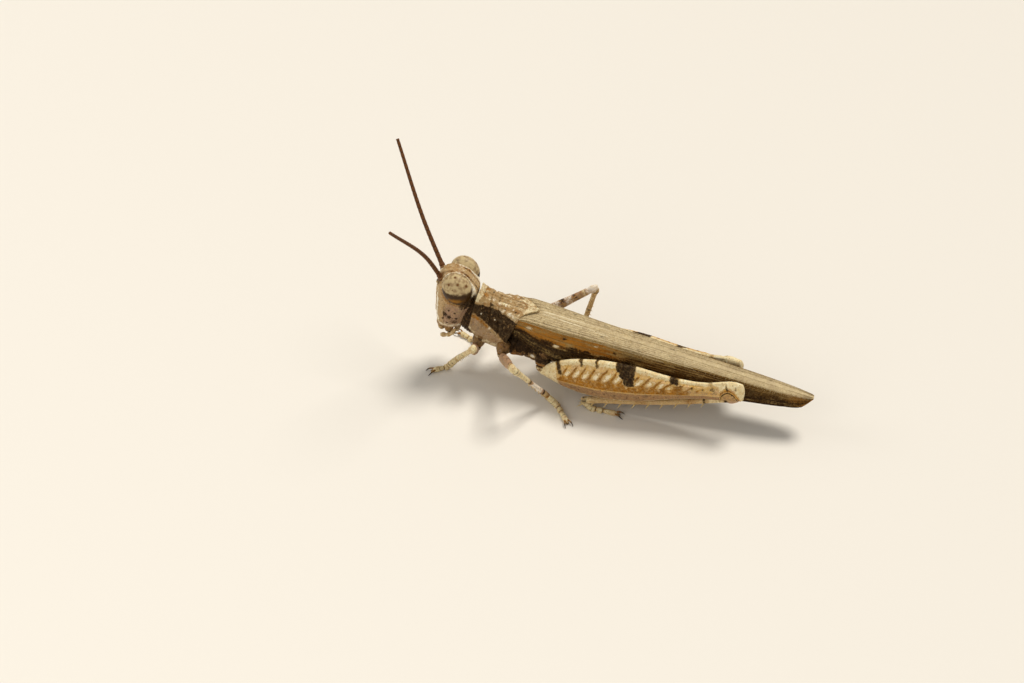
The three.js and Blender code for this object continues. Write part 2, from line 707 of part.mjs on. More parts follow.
for (const [name, colour, solid] of solids) {
  const geometry = geometryOf(solid);
  geometry.translate(-middleX, -middleY, -floorZ);
  geometry.computeVertexNormals();
  const [paint, roughness] = colours[colour];
  const material = new THREE.MeshStandardMaterial({ color: paint, roughness, metalness: 0 });
  material.name = colour;
  const mesh = new THREE.Mesh(geometry, material);
  mesh.name = name;
  group.add(mesh);
}

export default group;
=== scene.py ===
import math

import bmesh
import bpy
import numpy as np
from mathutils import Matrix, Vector


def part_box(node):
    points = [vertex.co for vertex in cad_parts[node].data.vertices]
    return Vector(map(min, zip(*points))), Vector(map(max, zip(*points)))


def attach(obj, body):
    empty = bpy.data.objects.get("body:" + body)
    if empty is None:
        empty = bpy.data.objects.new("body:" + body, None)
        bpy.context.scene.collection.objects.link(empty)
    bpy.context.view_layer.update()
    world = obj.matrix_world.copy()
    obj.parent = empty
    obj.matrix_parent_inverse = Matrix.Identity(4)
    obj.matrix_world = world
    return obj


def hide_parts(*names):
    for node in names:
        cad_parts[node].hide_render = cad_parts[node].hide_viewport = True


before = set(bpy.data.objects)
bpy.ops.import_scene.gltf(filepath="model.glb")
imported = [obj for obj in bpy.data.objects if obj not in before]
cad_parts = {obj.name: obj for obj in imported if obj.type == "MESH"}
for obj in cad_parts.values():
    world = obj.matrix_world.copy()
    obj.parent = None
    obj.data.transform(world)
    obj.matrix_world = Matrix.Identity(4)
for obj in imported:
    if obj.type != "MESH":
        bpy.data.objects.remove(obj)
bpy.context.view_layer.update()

from types import SimpleNamespace

mm = 0.001
sides = (("left", 1), ("right", -1))

# The animal faces -Y and its left side is +X. Places are in mm, with y = 0 at the hind tip of
# the pronotum and x = 0 on the mid-line, and rowPlace moves them into the CAD's frame.
body = {
    "wingTipY": 22.1,
    "faceY": -8.3,
    "napeY": -4.92,
    "crownZ": 9.85,
    "chinZ": 4.5,
    "mouthZ": 3.48,
    "eyeCentre": (1.12, -6.42, 8.7),
    "eyeHalf": (0.9, 1.19, 1.4),
    "eyeLean": 0.16,
    "padZ": 0.21,
    "toeZ": 0.19,
}
shieldLow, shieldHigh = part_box("pronotum")
rowShift = np.array([
    (shieldLow.x + shieldHigh.x) / 2 / mm,
    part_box("tegmen_left")[1].y / mm - body["wingTipY"],
    0.0,
])

legs = {
    "fore_left": {"hip": (0.98, -4.4, 4.7), "thigh": (1.35, -4.9, 2.95), "knee": (3.4, -4.47, 4.85),
                  "heel": (1.05, -6.52, 1.25), "pad": (1.14, -7.4), "toe": (1.72, -8.2)},
    "fore_right": {"hip": (-0.98, -4.4, 4.7), "thigh": (-1.35, -4.9, 2.95), "knee": (-3.45, -4.35, 4.35),
                   "heel": (-2.35, -5.6, 0.95), "pad": (-2.5, -6.2), "toe": (-3.0, -7.35)},
    "mid_left": {"hip": (1.5, -2.5, 4.3), "thigh": (1.75, -2.65, 3.15), "knee": (5.8, -0.52, 5.85),
                 "heel": (3.0, 1.48, 1.05), "pad": (3.0, 2.3), "toe": (4.5, 3.45)},
    "mid_right": {"hip": (-1.5, -2.5, 4.3), "thigh": (-1.75, -2.65, 3.15), "knee": (-5.25, 3.2, 5.85),
                  "heel": (-5.5, 1.95, 0.85), "pad": (-5.6, 2.35), "toe": (-6.0, 3.75)},
    "hind_left": {"hip": (1.35, 0.75, 4.0), "thigh": (2.0, 0.65, 2.75), "knee": (1.9, 16.9, 4.35),
                  "heel": (2.5, 4.2, 0.9), "pad": (2.5, 4.95), "toe": (2.62, 7.0), "lean": 0.0},
    "hind_right": {"hip": (-1.35, 0.75, 4.0), "thigh": (-2.0, 0.65, 2.75), "knee": (-1.78, 15.9, 3.6),
                   "heel": (-2.5, 3.9, 0.8), "pad": (-2.6, 4.65), "toe": (-2.95, 6.7), "lean": 0.42},
}
for legName, leg in legs.items():
    leg["name"] = legName
    leg["kind"] = legName.split("_")[0]
    leg["side"] = 1 if leg["hip"][0] > 0 else -1
    leg["pad"] = (*leg["pad"], body["padZ"])
    leg["toe"] = (*leg["toe"], body["toeZ"])


def rowPlace(points):
    return (np.asarray(points, float) + rowShift) * mm


# Curves, rows of sizes and soft steps that the pieces share.
def eased(rows, at, column=1):
    places = np.array([row[0] for row in rows], float)
    values = np.array([row[column] for row in rows], float)
    at = np.clip(np.asarray(at, float), places[0], places[-1])
    steep = np.diff(values) / np.diff(places)
    slope = np.zeros(len(values))
    slope[0], slope[-1] = steep[0], steep[-1]
    same = steep[:-1] * steep[1:] > 0
    total = np.where(same, steep[:-1] + steep[1:], 1)
    slope[1:-1] = np.where(same, 2 * steep[:-1] * steep[1:] / total, 0)
    i = np.clip(np.searchsorted(places, at, side="right") - 1, 0, len(steep) - 1)
    span = places[i + 1] - places[i]
    u = (at - places[i]) / span
    return ((2 * u + 1) * (1 - u) ** 2 * values[i] + u * (1 - u) ** 2 * span * slope[i]
            + u * u * (3 - 2 * u) * values[i + 1] + u * u * (u - 1) * span * slope[i + 1])


def ridge(value, middle, width):
    return np.exp(-(((value - middle) / width) ** 2))


def rise(value, start, end):
    u = np.clip((value - start) / (end - start), 0, 1)
    return u * u * (3 - 2 * u)


def within(value, start, end, soft):
    return rise(value, start - soft, start + soft) * (1 - rise(value, end - soft, end + soft))


def clouds(points, size, seed=0):
    # Smooth random values from -1 to 1, with features about size mm across.
    p = np.asarray(points, float) / size + seed * 17.3
    cell = np.floor(p)
    u = p - cell
    u = u * u * (3 - 2 * u)
    total = np.zeros(p.shape[:-1])
    for dx in (0, 1):
        for dy in (0, 1):
            for dz in (0, 1):
                key = (cell[..., 0] + dx) * 127.1 + (cell[..., 1] + dy) * 311.7 + (cell[..., 2] + dz) * 74.7
                value = np.mod(np.sin(key + seed) * 43758.5453, 1.0) * 2 - 1
                weight = ((u[..., 0] if dx else 1 - u[..., 0]) * (u[..., 1] if dy else 1 - u[..., 1])
                          * (u[..., 2] if dz else 1 - u[..., 2]))
                total += value * weight
    return total


def squared(c, s, power):
    # Turns a circle's cosine and sine into those of a squarer outline.
    size = (np.abs(c) ** power + np.abs(s) ** power) ** (-1 / power)
    return c * size, s * size


def dots(spots, first, second, stretch=(1, 1)):
    # Soft round spots, each with its place on two axes and its size.
    return sum(ridge(np.hypot((first - a) * stretch[0], (second - b) * stretch[1]), 0, size)
               for a, b, size in spots)


def knobs(spots, grid, side, wider=1.0):
    # Soft round spots in space, each with its place on the left side and its size.
    total = 0.0
    for *place, size in spots:
        away = np.linalg.norm(grid - np.array(place) * [side, 1, 1], axis=-1)
        total = total + ridge(away, 0, size * wider)
    return total


def unit(vectors):
    return vectors / np.maximum(np.linalg.norm(vectors, axis=-1, keepdims=True), 1e-9)


def route(points):
    # A smooth line through the points, as dense samples with their share of its length.
    points = np.array(points, float)
    if len(points) == 2:
        dense = points[0] + (points[1] - points[0]) * np.linspace(0, 1, 60)[:, None]
    else:
        held = np.vstack([2 * points[0] - points[1], points, 2 * points[-1] - points[-2]])
        parts = []
        for i in range(len(points) - 1):
            p = held[i:i + 4]
            knots = np.concatenate([[0], np.cumsum(np.sqrt(np.linalg.norm(np.diff(p, axis=0), axis=1)))])
            at = np.linspace(knots[1], knots[2], 80, endpoint=i == len(points) - 2)[:, None]
            a = [(knots[k + 1] - at) / (knots[k + 1] - knots[k]) * p[k]
                 + (at - knots[k]) / (knots[k + 1] - knots[k]) * p[k + 1] for k in range(3)]
            b = [(knots[k + 2] - at) / (knots[k + 2] - knots[k]) * a[k]
                 + (at - knots[k]) / (knots[k + 2] - knots[k]) * a[k + 1] for k in range(2)]
            parts.append((knots[2] - at) / (knots[2] - knots[1]) * b[0]
                         + (at - knots[1]) / (knots[2] - knots[1]) * b[1])
        dense = np.vstack(parts)
    walked = np.concatenate([[0], np.cumsum(np.linalg.norm(np.diff(dense, axis=0), axis=1))])
    return dense, walked / walked[-1], walked[-1]


def along(line, t):
    dense, share, _ = line
    return np.stack([np.interp(t, share, dense[:, k]) for k in range(3)], axis=-1)


def ahead(line, t):
    return unit(along(line, np.clip(t + 0.01, 0, 1)) - along(line, np.clip(t - 0.01, 0, 1)))


# Grids of points, pushed out along their own normals, and closed into solid parts.
def gridNormals(grid, wrapped):
    if wrapped:
        du = np.roll(grid, -1, axis=1) - np.roll(grid, 1, axis=1)
    else:
        du = np.gradient(grid, axis=1)
    dv = np.gradient(grid, axis=0)
    normal = unit(np.cross(du, dv))
    middle = grid.mean(axis=1, keepdims=True) if wrapped else grid.reshape(-1, 3).mean(axis=0) - [0, 0, 2]
    facing = ((grid - middle) * normal).sum(-1).mean()
    return normal if facing > 0 else -normal


def pushed(grid, push, wrapped=True):
    return grid + gridNormals(grid, wrapped) * push[..., None]


def tube(line, rows, around=32, rings=40, lift=(0, 0, 1), power=2.0, dome=0.5):
    # Rows hold [place, half height, half width]. The ends close in domes of a few more rings.
    t = np.linspace(0, 1, rings)
    turns = np.linspace(0, 2 * np.pi, around, endpoint=False)
    c, s = squared(np.cos(turns), np.sin(turns), power)
    centre, forward = along(line, t), ahead(line, t)
    sideways = unit(np.cross(forward, np.array(lift, float)))
    upward = unit(np.cross(sideways, forward))
    high, wide = eased(rows, t, 1), eased(rows, t, 2)
    tilt = np.linspace(np.pi / 2, 0, 4)[:-1]
    reach = [(0, -np.sin(a) * dome, np.cos(a)) for a in tilt]
    finish = [(rings - 1, np.sin(a) * dome, np.cos(a)) for a in tilt[::-1]]
    straight = [(i, 0.0, 1.0) for i in range(rings)]
    order = reach[1:] + straight + finish[:-1]
    i = np.array([row[0] for row in order])
    past = np.array([row[1] for row in order])
    size = np.array([row[2] for row in order])
    end = np.minimum(high, wide)[i] * past
    grid = (centre[i] + forward[i] * end[:, None])[:, None, :] \
        + sideways[i][:, None, :] * (c[None, :] * (wide[i] * size)[:, None])[..., None] \
        + upward[i][:, None, :] * (s[None, :] * (high[i] * size)[:, None])[..., None]
    turn, c, s = (np.broadcast_to(values[None, :], grid.shape[:2]) for values in (turns, c, s))
    return SimpleNamespace(grid=grid, t=np.broadcast_to(t[i][:, None], grid.shape[:2]), turn=turn, c=c, s=s)


def closedTube(grid, masks=None):
    rings, around = grid.shape[:2]
    points = np.vstack([grid.reshape(-1, 3), grid[0].mean(0)[None], grid[-1].mean(0)[None]])
    a = (np.arange(rings - 1)[:, None] * around + np.arange(around)[None, :])
    b = (np.arange(rings - 1)[:, None] * around + (np.arange(around)[None, :] + 1) % around)
    faces = np.stack([a, b, b + around, a + around], axis=-1).reshape(-1, 4).tolist()
    first, last = rings * around, rings * around + 1
    for k in range(around):
        faces.append([first, (k + 1) % around, k])
        faces.append([last, (rings - 1) * around + k, (rings - 1) * around + (k + 1) % around])
    flat = {}
    for name, mask in (masks or {}).items():
        mask = np.broadcast_to(np.clip(mask, 0, 1), (rings, around))
        flat[name] = np.concatenate([mask.reshape(-1), [mask[0].mean(), mask[-1].mean()]])
    return {"points": points, "faces": faces, "masks": flat}


def closedSheet(outer, inner, masks=None):
    rows, columns = outer.shape[:2]
    count = rows * columns
    points = np.vstack([outer.reshape(-1, 3), inner.reshape(-1, 3)])
    a = (np.arange(rows - 1)[:, None] * columns + np.arange(columns - 1)[None, :]).reshape(-1)
    top = np.stack([a, a + 1, a + columns + 1, a + columns], axis=-1)
    faces = top.tolist() + (top[:, ::-1] + count).tolist()
    rim = list(range(columns))
    rim += [r * columns + columns - 1 for r in range(1, rows)]
    rim += [(rows - 1) * columns + c for c in range(columns - 2, -1, -1)]
    rim += [r * columns for r in range(rows - 2, 0, -1)]
    for k, p in enumerate(rim):
        q = rim[(k + 1) % len(rim)]
        faces.append([q, p, p + count, q + count])
    flat = {name: np.tile(np.broadcast_to(np.clip(mask, 0, 1), (rows, columns)).reshape(-1), 2)
            for name, mask in (masks or {}).items()}
    return {"points": points, "faces": faces, "masks": flat}


def together(parts):
    points, faces, start = [], [], 0
    names = sorted({name for part in parts for name in part["masks"]})
    masks = {name: [] for name in names}
    for part in parts:
        points.append(part["points"])
        faces += [[corner + start for corner in face] for face in part["faces"]]
        for name in names:
            masks[name].append(part["masks"].get(name, np.zeros(len(part["points"]))))
        start += len(part["points"])
    return {"points": np.vstack(points), "faces": faces,
            "masks": {name: np.concatenate(values) for name, values in masks.items()}}


def addLayer(mesh, name, values):
    # One number or one direction for each point of a mesh.
    values = np.asarray(values, np.float32)
    kind, field = ("FLOAT_VECTOR", "vector") if values.ndim == 2 else ("FLOAT", "value")
    mesh.attributes.new(name, kind, "POINT").data.foreach_set(field, values.ravel())


def newObject(name, data):
    made = bpy.data.objects.new(name, data)
    bpy.context.scene.collection.objects.link(made)
    return made


def meshOf(name, part):
    mesh = bpy.data.meshes.new(name)
    mesh.from_pydata(rowPlace(part["points"]).tolist(), [], part["faces"])
    shell = bmesh.new()
    shell.from_mesh(mesh)
    bmesh.ops.recalc_face_normals(shell, faces=shell.faces)
    shell.to_mesh(mesh)
    shell.free()
    for maskName, values in part["masks"].items():
        addLayer(mesh, maskName, values)
    mesh.shade_smooth()
    return mesh


def addPiece(name, made, material, slotName, *nodes):
    # Takes a closed part or a finished mesh, and the nodes that the piece stands for.
    mesh = made if isinstance(made, bpy.types.Mesh) else meshOf(name, made)
    piece = newObject(name, mesh)
    mesh.materials.clear()
    mesh.materials.append(material)
    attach(piece, "root")
    if nodes:
        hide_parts(*nodes)
    return piece


# Materials.
def linearColour(hexText):
    channels = [int(hexText[k:k + 2], 16) / 255 for k in (1, 3, 5)]
    return (*[c / 12.92 if c <= 0.04045 else ((c + 0.055) / 1.055) ** 2.4 for c in channels], 1.0)


def addNode(tree, kind, values=None, links=None, **settings):
    # A link comes from a node's first output, or from (node, output).
    node = tree.nodes.new(kind)
    for setting, value in settings.items():
        setattr(node, setting, value)
    for socket, value in (values or {}).items():
        node.inputs[socket].default_value = value
    for socket, source in (links or {}).items():
        maker, output = source if isinstance(source, tuple) else (source, 0)
        tree.links.new(maker.outputs[output], node.inputs[socket])
    return node


def newMaterial(name):
    # An empty material, and the Object coordinates that its patterns read.
    material = bpy.data.materials.new(name)
    material.use_nodes = True
    tree = material.node_tree
    tree.nodes.clear()
    return material, tree, (addNode(tree, "ShaderNodeTexCoord"), "Object")


def coated(tree, look, first, coats):
    # Lays coats of colour over the first one, each as far as its share says.
    under = {}
    for coat, share in coats:
        layer = addNode(tree, "ShaderNodeMix", {6: linearColour(look[first]), 7: linearColour(look[coat])},
                        {0: share, **under}, data_type="RGBA")
        under = {6: (layer, 2)}
    return under[6]


softStep = {"interpolation_type": "SMOOTHSTEP"}


def cuticle(name, look):
    # Insect cuticle: cloudy base colour, soft torn patches where the masks of the mesh say, small
    # uneven flecks, a fine grain of tone, and a bump of pits and wrinkles. Sizes in the look are mm.
    material, tree, place = newMaterial(name)
    broad, torn, grain = (
        addNode(tree, "ShaderNodeTexNoise",
                {"Scale": 1 / (look[size] * mm), "Detail": detail, "Roughness": rough}, {"Vector": place})
        for size, detail, rough in (("cloud", 6.0, 0.65), ("ragged", 7.0, 0.72), ("grain", 5.0, 0.65)))
    broadStep = addNode(tree, "ShaderNodeMapRange", {"From Min": 0.36, "From Max": 0.66}, {"Value": broad},
                        **softStep)
    raggedStep = addNode(tree, "ShaderNodeMapRange",
                         {"From Min": 0.46, "From Max": 0.74, "To Max": look.get("light", 0.6)},
                         {"Value": torn}, **softStep)
    coats = [("cloudy", broadStep), ("bright", raggedStep)]
    centred = addNode(tree, "ShaderNodeMath", {1: 0.5}, {0: torn}, operation="SUBTRACT")
    shaken = addNode(tree, "ShaderNodeMath", {1: look.get("tear", 3.0)}, {0: centred}, operation="MULTIPLY")
    specks = addNode(tree, "ShaderNodeSeparateColor", None, {0: (torn, "Color")})
    for maskName in ("warm", "rosy", "pale", "dark", "white"):
        if maskName not in look:
            continue
        through = 0.12 if maskName in ("dark", "white") else look.get("through", 0.55)
        cover = addNode(tree, "ShaderNodeMapRange",
                        {"From Min": 0.44, "From Max": 0.6, "To Min": 1.0, "To Max": 1.0 - through},
                        {"Value": (specks, 2)}, **softStep)
        mask = (addNode(tree, "ShaderNodeAttribute", attribute_name=maskName), "Fac")
        frayed = addNode(tree, "ShaderNodeMath", None, {0: mask, 1: shaken}, operation="ADD")
        edge = addNode(tree, "ShaderNodeMapRange", {"From Min": 0.22, "From Max": 0.82}, {"Value": frayed},
                       **softStep)
        sure = addNode(tree, "ShaderNodeMapRange", {"From Min": 0.02, "From Max": 0.35}, {"Value": mask})
        share = addNode(tree, "ShaderNodeMath", None, {0: edge, 1: sure}, operation="MULTIPLY")
        share = addNode(tree, "ShaderNodeMath", None, {0: share, 1: cover}, operation="MULTIPLY")
        coats.append((maskName, share))
    bent = addNode(tree, "ShaderNodeVectorMath", {1: [look["fleckGap"] * 1.6 * mm] * 3},
                   {0: (torn, "Color"), 2: place}, operation="MULTIPLY_ADD")
    cells = addNode(tree, "ShaderNodeTexVoronoi", {"Scale": 1 / (look["fleckGap"] * mm), "Randomness": 1.0},
                    {"Vector": bent})
    near = addNode(tree, "ShaderNodeMapRange", {"From Min": 0.42, "From Max": 0.12}, {"Value": cells},
                   **softStep)
    chosen = addNode(tree, "ShaderNodeSeparateColor", None, {0: (cells, "Color")})
    some = addNode(tree, "ShaderNodeMapRange", {"From Min": 1 - look["fleckShare"], "From Max": 1.0,
                                                "To Max": look.get("fleckTone", 0.75)}, {"Value": chosen})
    fleck = addNode(tree, "ShaderNodeMath", None, {0: near, 1: some}, operation="MULTIPLY")
    coats.append(("fleck", fleck))
    mottle = addNode(tree, "ShaderNodeMath", None, {0: grain, 1: broad}, operation="ADD")
    tone = addNode(tree, "ShaderNodeMapRange", {"From Min": 0.74, "From Max": 1.26}, {"Value": mottle})
    colour = addNode(tree, "ShaderNodeMix", {0: look.get("grainTone", 0.45)},
                     {6: coated(tree, look, "base", coats), 7: tone}, data_type="RGBA", blend_type="OVERLAY")
    pits = addNode(tree, "ShaderNodeTexVoronoi", {"Scale": 1 / (look["grain"] * 1.6 * mm)}, {"Vector": place},
                   feature="SMOOTH_F1")
    height = addNode(tree, "ShaderNodeMath", None, {0: grain, 1: pits}, operation="ADD")
    relief = look.get("relief", 0.5)
    wrinkles = addNode(tree, "ShaderNodeBump",
                       {"Strength": relief * 0.7, "Distance": look["ragged"] * 0.16 * mm}, {"Height": torn})
    normal = addNode(tree, "ShaderNodeBump", {"Strength": relief, "Distance": look["grain"] * 0.35 * mm},
                     {"Height": height, "Normal": wrinkles})
    gloss = look["gloss"]
    shine = addNode(tree, "ShaderNodeMapRange",
                    {"From Min": 0.3, "From Max": 0.7, "To Min": gloss - 0.08, "To Max": gloss + 0.12},
                    {"Value": torn})
    shader = addNode(tree, "ShaderNodeBsdfPrincipled",
                     {"IOR": 1.5, "Specular IOR Level": look.get("spec", 0.1)},
                     {"Base Color": (colour, 2), "Roughness": shine, "Normal": normal})
    addNode(tree, "ShaderNodeOutputMaterial", None, {"Surface": shader})
    return material


# Geometry Nodes trees: how they start, how a line gets a round skin, and how they end.
def newTree(name, sizes):
    tree = bpy.data.node_groups.new(name, "GeometryNodeTree")
    tree.interface.new_socket("Geometry", in_out="INPUT", socket_type="NodeSocketGeometry")
    for socket, kind in {**sizes, "Sides": "Int", "Material": "Material"}.items():
        tree.interface.new_socket(socket, in_out="INPUT", socket_type="NodeSocket" + kind)
    tree.interface.new_socket("Geometry", in_out="OUTPUT", socket_type="NodeSocketGeometry")
    return tree, addNode(tree, "NodeGroupInput")


def roundSkin(tree, start, line, half):
    sized = addNode(tree, "GeometryNodeSetCurveRadius", None, {"Curve": line, "Radius": half})
    ring = addNode(tree, "GeometryNodeCurvePrimitiveCircle", {"Radius": 1.0},
                   {"Resolution": (start, "Sides")})
    skin = addNode(tree, "GeometryNodeCurveToMesh", {"Fill Caps": True},
                   {"Curve": sized, "Profile Curve": ring})
    if "Scale" in skin.inputs:
        radius = addNode(tree, "GeometryNodeInputRadius")
        tree.links.new(radius.outputs[0], skin.inputs["Scale"])
    return addNode(tree, "GeometryNodeSetShadeSmooth", None, {"Geometry": skin})


def endTree(tree, start, shape):
    real = addNode(tree, "GeometryNodeRealizeInstances", None, {"Geometry": shape})
    painted = addNode(tree, "GeometryNodeSetMaterial", None,
                      {"Geometry": real, "Material": (start, "Material")})
    addNode(tree, "NodeGroupOutput", None, {"Geometry": painted})
    return tree


def grown(name, source, tree, values):
    # Runs a tree on a source object, and gives back its plain mesh.
    holder = newObject(name + "Source", source)
    modifier = holder.modifiers.new(tree.name, "NODES")
    modifier.node_group = tree
    ids = {item.name: item.identifier for item in tree.interface.items_tree
           if item.item_type == "SOCKET" and item.in_out == "INPUT"}
    for socket, value in values.items():
        modifier[ids[socket]] = value
    bpy.context.view_layer.update()
    dg = bpy.context.evaluated_depsgraph_get()
    mesh = bpy.data.meshes.new_from_object(holder.evaluated_get(dg), depsgraph=dg)
    bpy.data.objects.remove(holder)
    mesh.name = name
    return mesh


# Head: an upright capsule with a keeled face, eye rims and sutures.
# Hard, dry cuticle: chalky tan with brown marbling and cream ridges, and only a dull sheen.
headLook = {
    "base": "#c4a577", "cloudy": "#9c7a4b", "bright": "#e8d8b2", "warm": "#86571f", "rosy": "#9d7d66",
    "pale": "#eee2c4", "dark": "#2c1a07", "white": "#f5ecd6", "fleck": "#573a18",
    "cloud": 0.45, "ragged": 0.2, "fleckGap": 0.16, "fleckShare": 0.6, "grain": 0.06, "gloss": 0.52,
}
headSizes = {
    "around": 200, "rings": 150, "power": 2.4,
    # Height, how far in the face and the nape are, and half width.
    "rows": [
        [4.5, 0.06, -1.36, 1.1], [5.0, -0.03, -1.06, 1.34], [6.1, 0, -0.68, 1.55], [7.2, 0.04, -0.23, 1.45],
        [8.25, 0.13, 0, 1.32], [9.15, 0.3, -0.5, 1.12], [9.65, 0.64, -0.98, 0.76], [9.85, 1.05, -1.38, 0.42],
    ],
    "costaHalf": [[5.2, 0.24], [6.4, 0.17], [8.0, 0.24], [8.9, 0.17], [9.5, 0.15]],
    "ocellusZ": 8.08,
    "socket": (0.41, 8.68),
    # Dark spots on the cheek: y, z and size.
    "cheekSpots": [(-7.33, 6.25, 0.17), (-6.93, 6.03, 0.25), (-7.0, 6.7, 0.1), (-6.5, 6.5, 0.1),
                   (-7.5, 5.7, 0.1), (-6.62, 5.5, 0.25), (-6.4, 5.95, 0.12), (-7.2, 5.3, 0.1)],
}


def eyeSpace(points, side):
    p = points - np.array([body["eyeCentre"][0] * side, *body["eyeCentre"][1:]])
    c, s = math.cos(body["eyeLean"]), math.sin(body["eyeLean"])
    turned = np.stack([p[..., 0] * side, c * p[..., 1] + s * p[..., 2], -s * p[..., 1] + c * p[..., 2]], -1)
    return turned / np.array(body["eyeHalf"])


def makeHead():
    rows = headSizes["rows"]
    share = np.linspace(0, 1, headSizes["rings"])
    z = body["chinZ"] + (body["crownZ"] - body["chinZ"]) * (1 - (1 - share) ** 1.7)
    turns = np.linspace(0, 2 * np.pi, headSizes["around"], endpoint=False)
    c, s = squared(np.cos(turns), np.sin(turns), headSizes["power"])
    front = body["faceY"] + eased(rows, z, 1)
    back = body["napeY"] + eased(rows, z, 2)
    x = c[None, :] * eased(rows, z, 3)[:, None]
    y = (front + back)[:, None] / 2 + s[None, :] * (back - front)[:, None] / 2
    grid = np.stack([x, y, np.broadcast_to(z[:, None], x.shape)], -1)
    face = rise(-np.broadcast_to(s[None, :], x.shape), 0.15, 0.6)
    side = np.abs(x)
    height = grid[..., 2]
    costa = eased(headSizes["costaHalf"], height)
    keel = within(height, 5.25, 9.4, 0.15) * face
    push = 0.13 * ridge(x, 0, 0.34) * face
    push += 0.07 * ridge(side, costa, 0.055) * keel - 0.06 * ridge(x, 0, 0.09) * keel
    fromSocket = np.hypot(side - headSizes["socket"][0], height - headSizes["socket"][1])
    push += face * (0.08 * ridge(fromSocket, 0.38, 0.07) - 0.16 * (1 - rise(fromSocket, 0.2, 0.34)))
    cheekKeel = 0.62 + 0.45 * (8.3 - height) / 3.3
    push += 0.06 * ridge(side, cheekKeel, 0.06) * within(height, 4.9, 8.3, 0.2) * face
    push -= 0.06 * ridge(height, 5.15, 0.05) * face
    cheekLine = -7.42 + 0.06 * (height - 6)
    push -= 0.05 * ridge(y, cheekLine, 0.05) * within(height, 4.7, 7.3, 0.15) * rise(side, 0.7, 1)
    push -= 0.04 * ridge(y, back[:, None] - 0.42, 0.05) * rise(side, 0.6, 0.9) * within(height, 4.8, 9.0, 0.2)
    push += 0.07 * ridge(height, 6.1, 0.8) * ridge(y, -6.75, 0.5) * rise(side, 0.8, 1.2)
    vertex = rise(height, 9.1, 9.4)
    push -= 0.1 * ridge(x, 0, 0.26) * ridge(y, -7.4, 0.4) * vertex
    push += 0.07 * ridge(side, 0.4, 0.07) * within(y, -7.8, -6.8, 0.15) * vertex
    push += 0.035 * ridge(x, 0, 0.05) * rise(y, -7.0, -6.7) * rise(height, 8.3, 8.7)
    rim, arc, under = np.zeros((3, *x.shape))
    for sign in (1, -1):
        q = eyeSpace(grid, sign)
        gap = (np.linalg.norm(q, axis=-1) - 1) * np.where(x * sign > 0, 1, 9)
        push += 0.07 * ridge(gap, 0.07, 0.05) - 0.3 * (1 - rise(gap, -0.12, 0.0))
        rim += ridge(gap, 0.06, 0.06) * rise(q[..., 2], -0.3, 0.2)
        arc += ridge(gap, 0.24, 0.1) * rise(q[..., 2], -0.1, 0.4) * rise(q[..., 1], -0.5, 0.1)
        under += ridge(gap, 0.12, 0.13) * (1 - rise(q[..., 2], -0.4, 0.1))
    push += 0.012 * clouds(grid, 0.12, 3) + 0.01 * clouds(grid, 0.3, 5)
    grid = pushed(grid, push)
    spots = dots(headSizes["cheekSpots"], y, height) * rise(side, 0.7, 1.0)
    behind = rise(y, -5.85, -5.6) * rise(side, 0.4, 0.6)
    band = within(height, 6.85, 8.1, 0.16) * rise(y, -6.35, -5.9) * rise(side, 0.5, 0.8)
    crown = rise(height, 8.9, 9.3)
    stripes = ridge(side, 0.3, 0.1) * rise(y, -6.5, -6.1) * rise(height, 8.0, 8.3)
    masks = {
        "warm": 0.45 * arc + 0.8 * under + 0.4 * ridge(side, 0.45, 0.14) * crown
        + 0.5 * ridge(x, 0, 0.07) * face + 0.6 * ridge(height, 5.12, 0.06) * face
        + 0.3 * crown * (0.5 + 0.5 * clouds(grid, 0.22, 9)),
        "rosy": 0.85 * (1 - rise(height, 6.9, 7.5)) * (1 - 0.8 * face),
        "pale": 0.95 * ridge(side, cheekKeel, 0.13) * within(height, 4.7, 8.2, 0.2) * face + 0.45 * rim
        + 0.95 * behind * within(height, 7.85, 9.5, 0.15) + 0.4 * crown * (0.5 + 0.5 * clouds(grid, 0.3, 4))
        + 0.5 * ridge(height, 5.0, 0.25) * (1 - face) + 0.6 * ridge(side, costa, 0.08) * keel
        + 0.6 * ridge(height, 4.8, 0.14),
        "dark": 0.95 * spots + 0.95 * band + 0.5 * ridge(fromSocket, 0.3, 0.1) * face + 0.6 * stripes
        + 0.5 * ridge(y, cheekLine, 0.07) * within(height, 5.8, 7.3, 0.15) * rise(side, 0.7, 1),
        "white": 0.95 * ridge(side, cheekKeel, 0.16) * within(height, 5.2, 7.4, 0.3) * face
        + 0.6 * behind * within(height, 8.2, 9.3, 0.15),
    }
    return closedTube(grid, masks)


# Compound eye: a smooth lens dome of fine facets, greenish cream above and brown below, partly as
# painted light and shade.
# Lens cuticle: pale and clouded above, deep brown below, its own brown darkened by painted shade, with
# a painted glow low in front.
eyeLook = {
    "upper": "#c6b083", "cloudy": "#a08560", "lower": "#3a2302", "amber": "#8a5c0a", "spot": "#6d4520",
    "rim": "#33220c", "cloud": 0.3, "facet": 0.05, "facetHeight": 0.006,
}
eyeSizes = {
    "around": 72, "rings": 50,
    "spots": [(1.72, -6.2, 9.72, 0.21), (1.42, -5.56, 9.52, 0.17), (1.73, -6.9, 9.55, 0.13),
              (1.3, -6.5, 10.05, 0.12), (1.95, -6.55, 9.25, 0.1)],
    "beadHalf": 0.1, "beadY": 0.4, "bead": (0.56, 9.28), "faceBeadHalf": 0.11, "faceBeadY": -0.07,
}


def globe(around, rings, pole):
    # Directions from a centre, as rings from one pole to the other.
    turns = np.linspace(0, 2 * np.pi, around, endpoint=False)
    polar = np.linspace(pole, np.pi - pole, rings)[:, None]
    return np.sin(polar) * np.cos(turns), np.sin(polar) * np.sin(turns), np.cos(polar) + 0 * turns


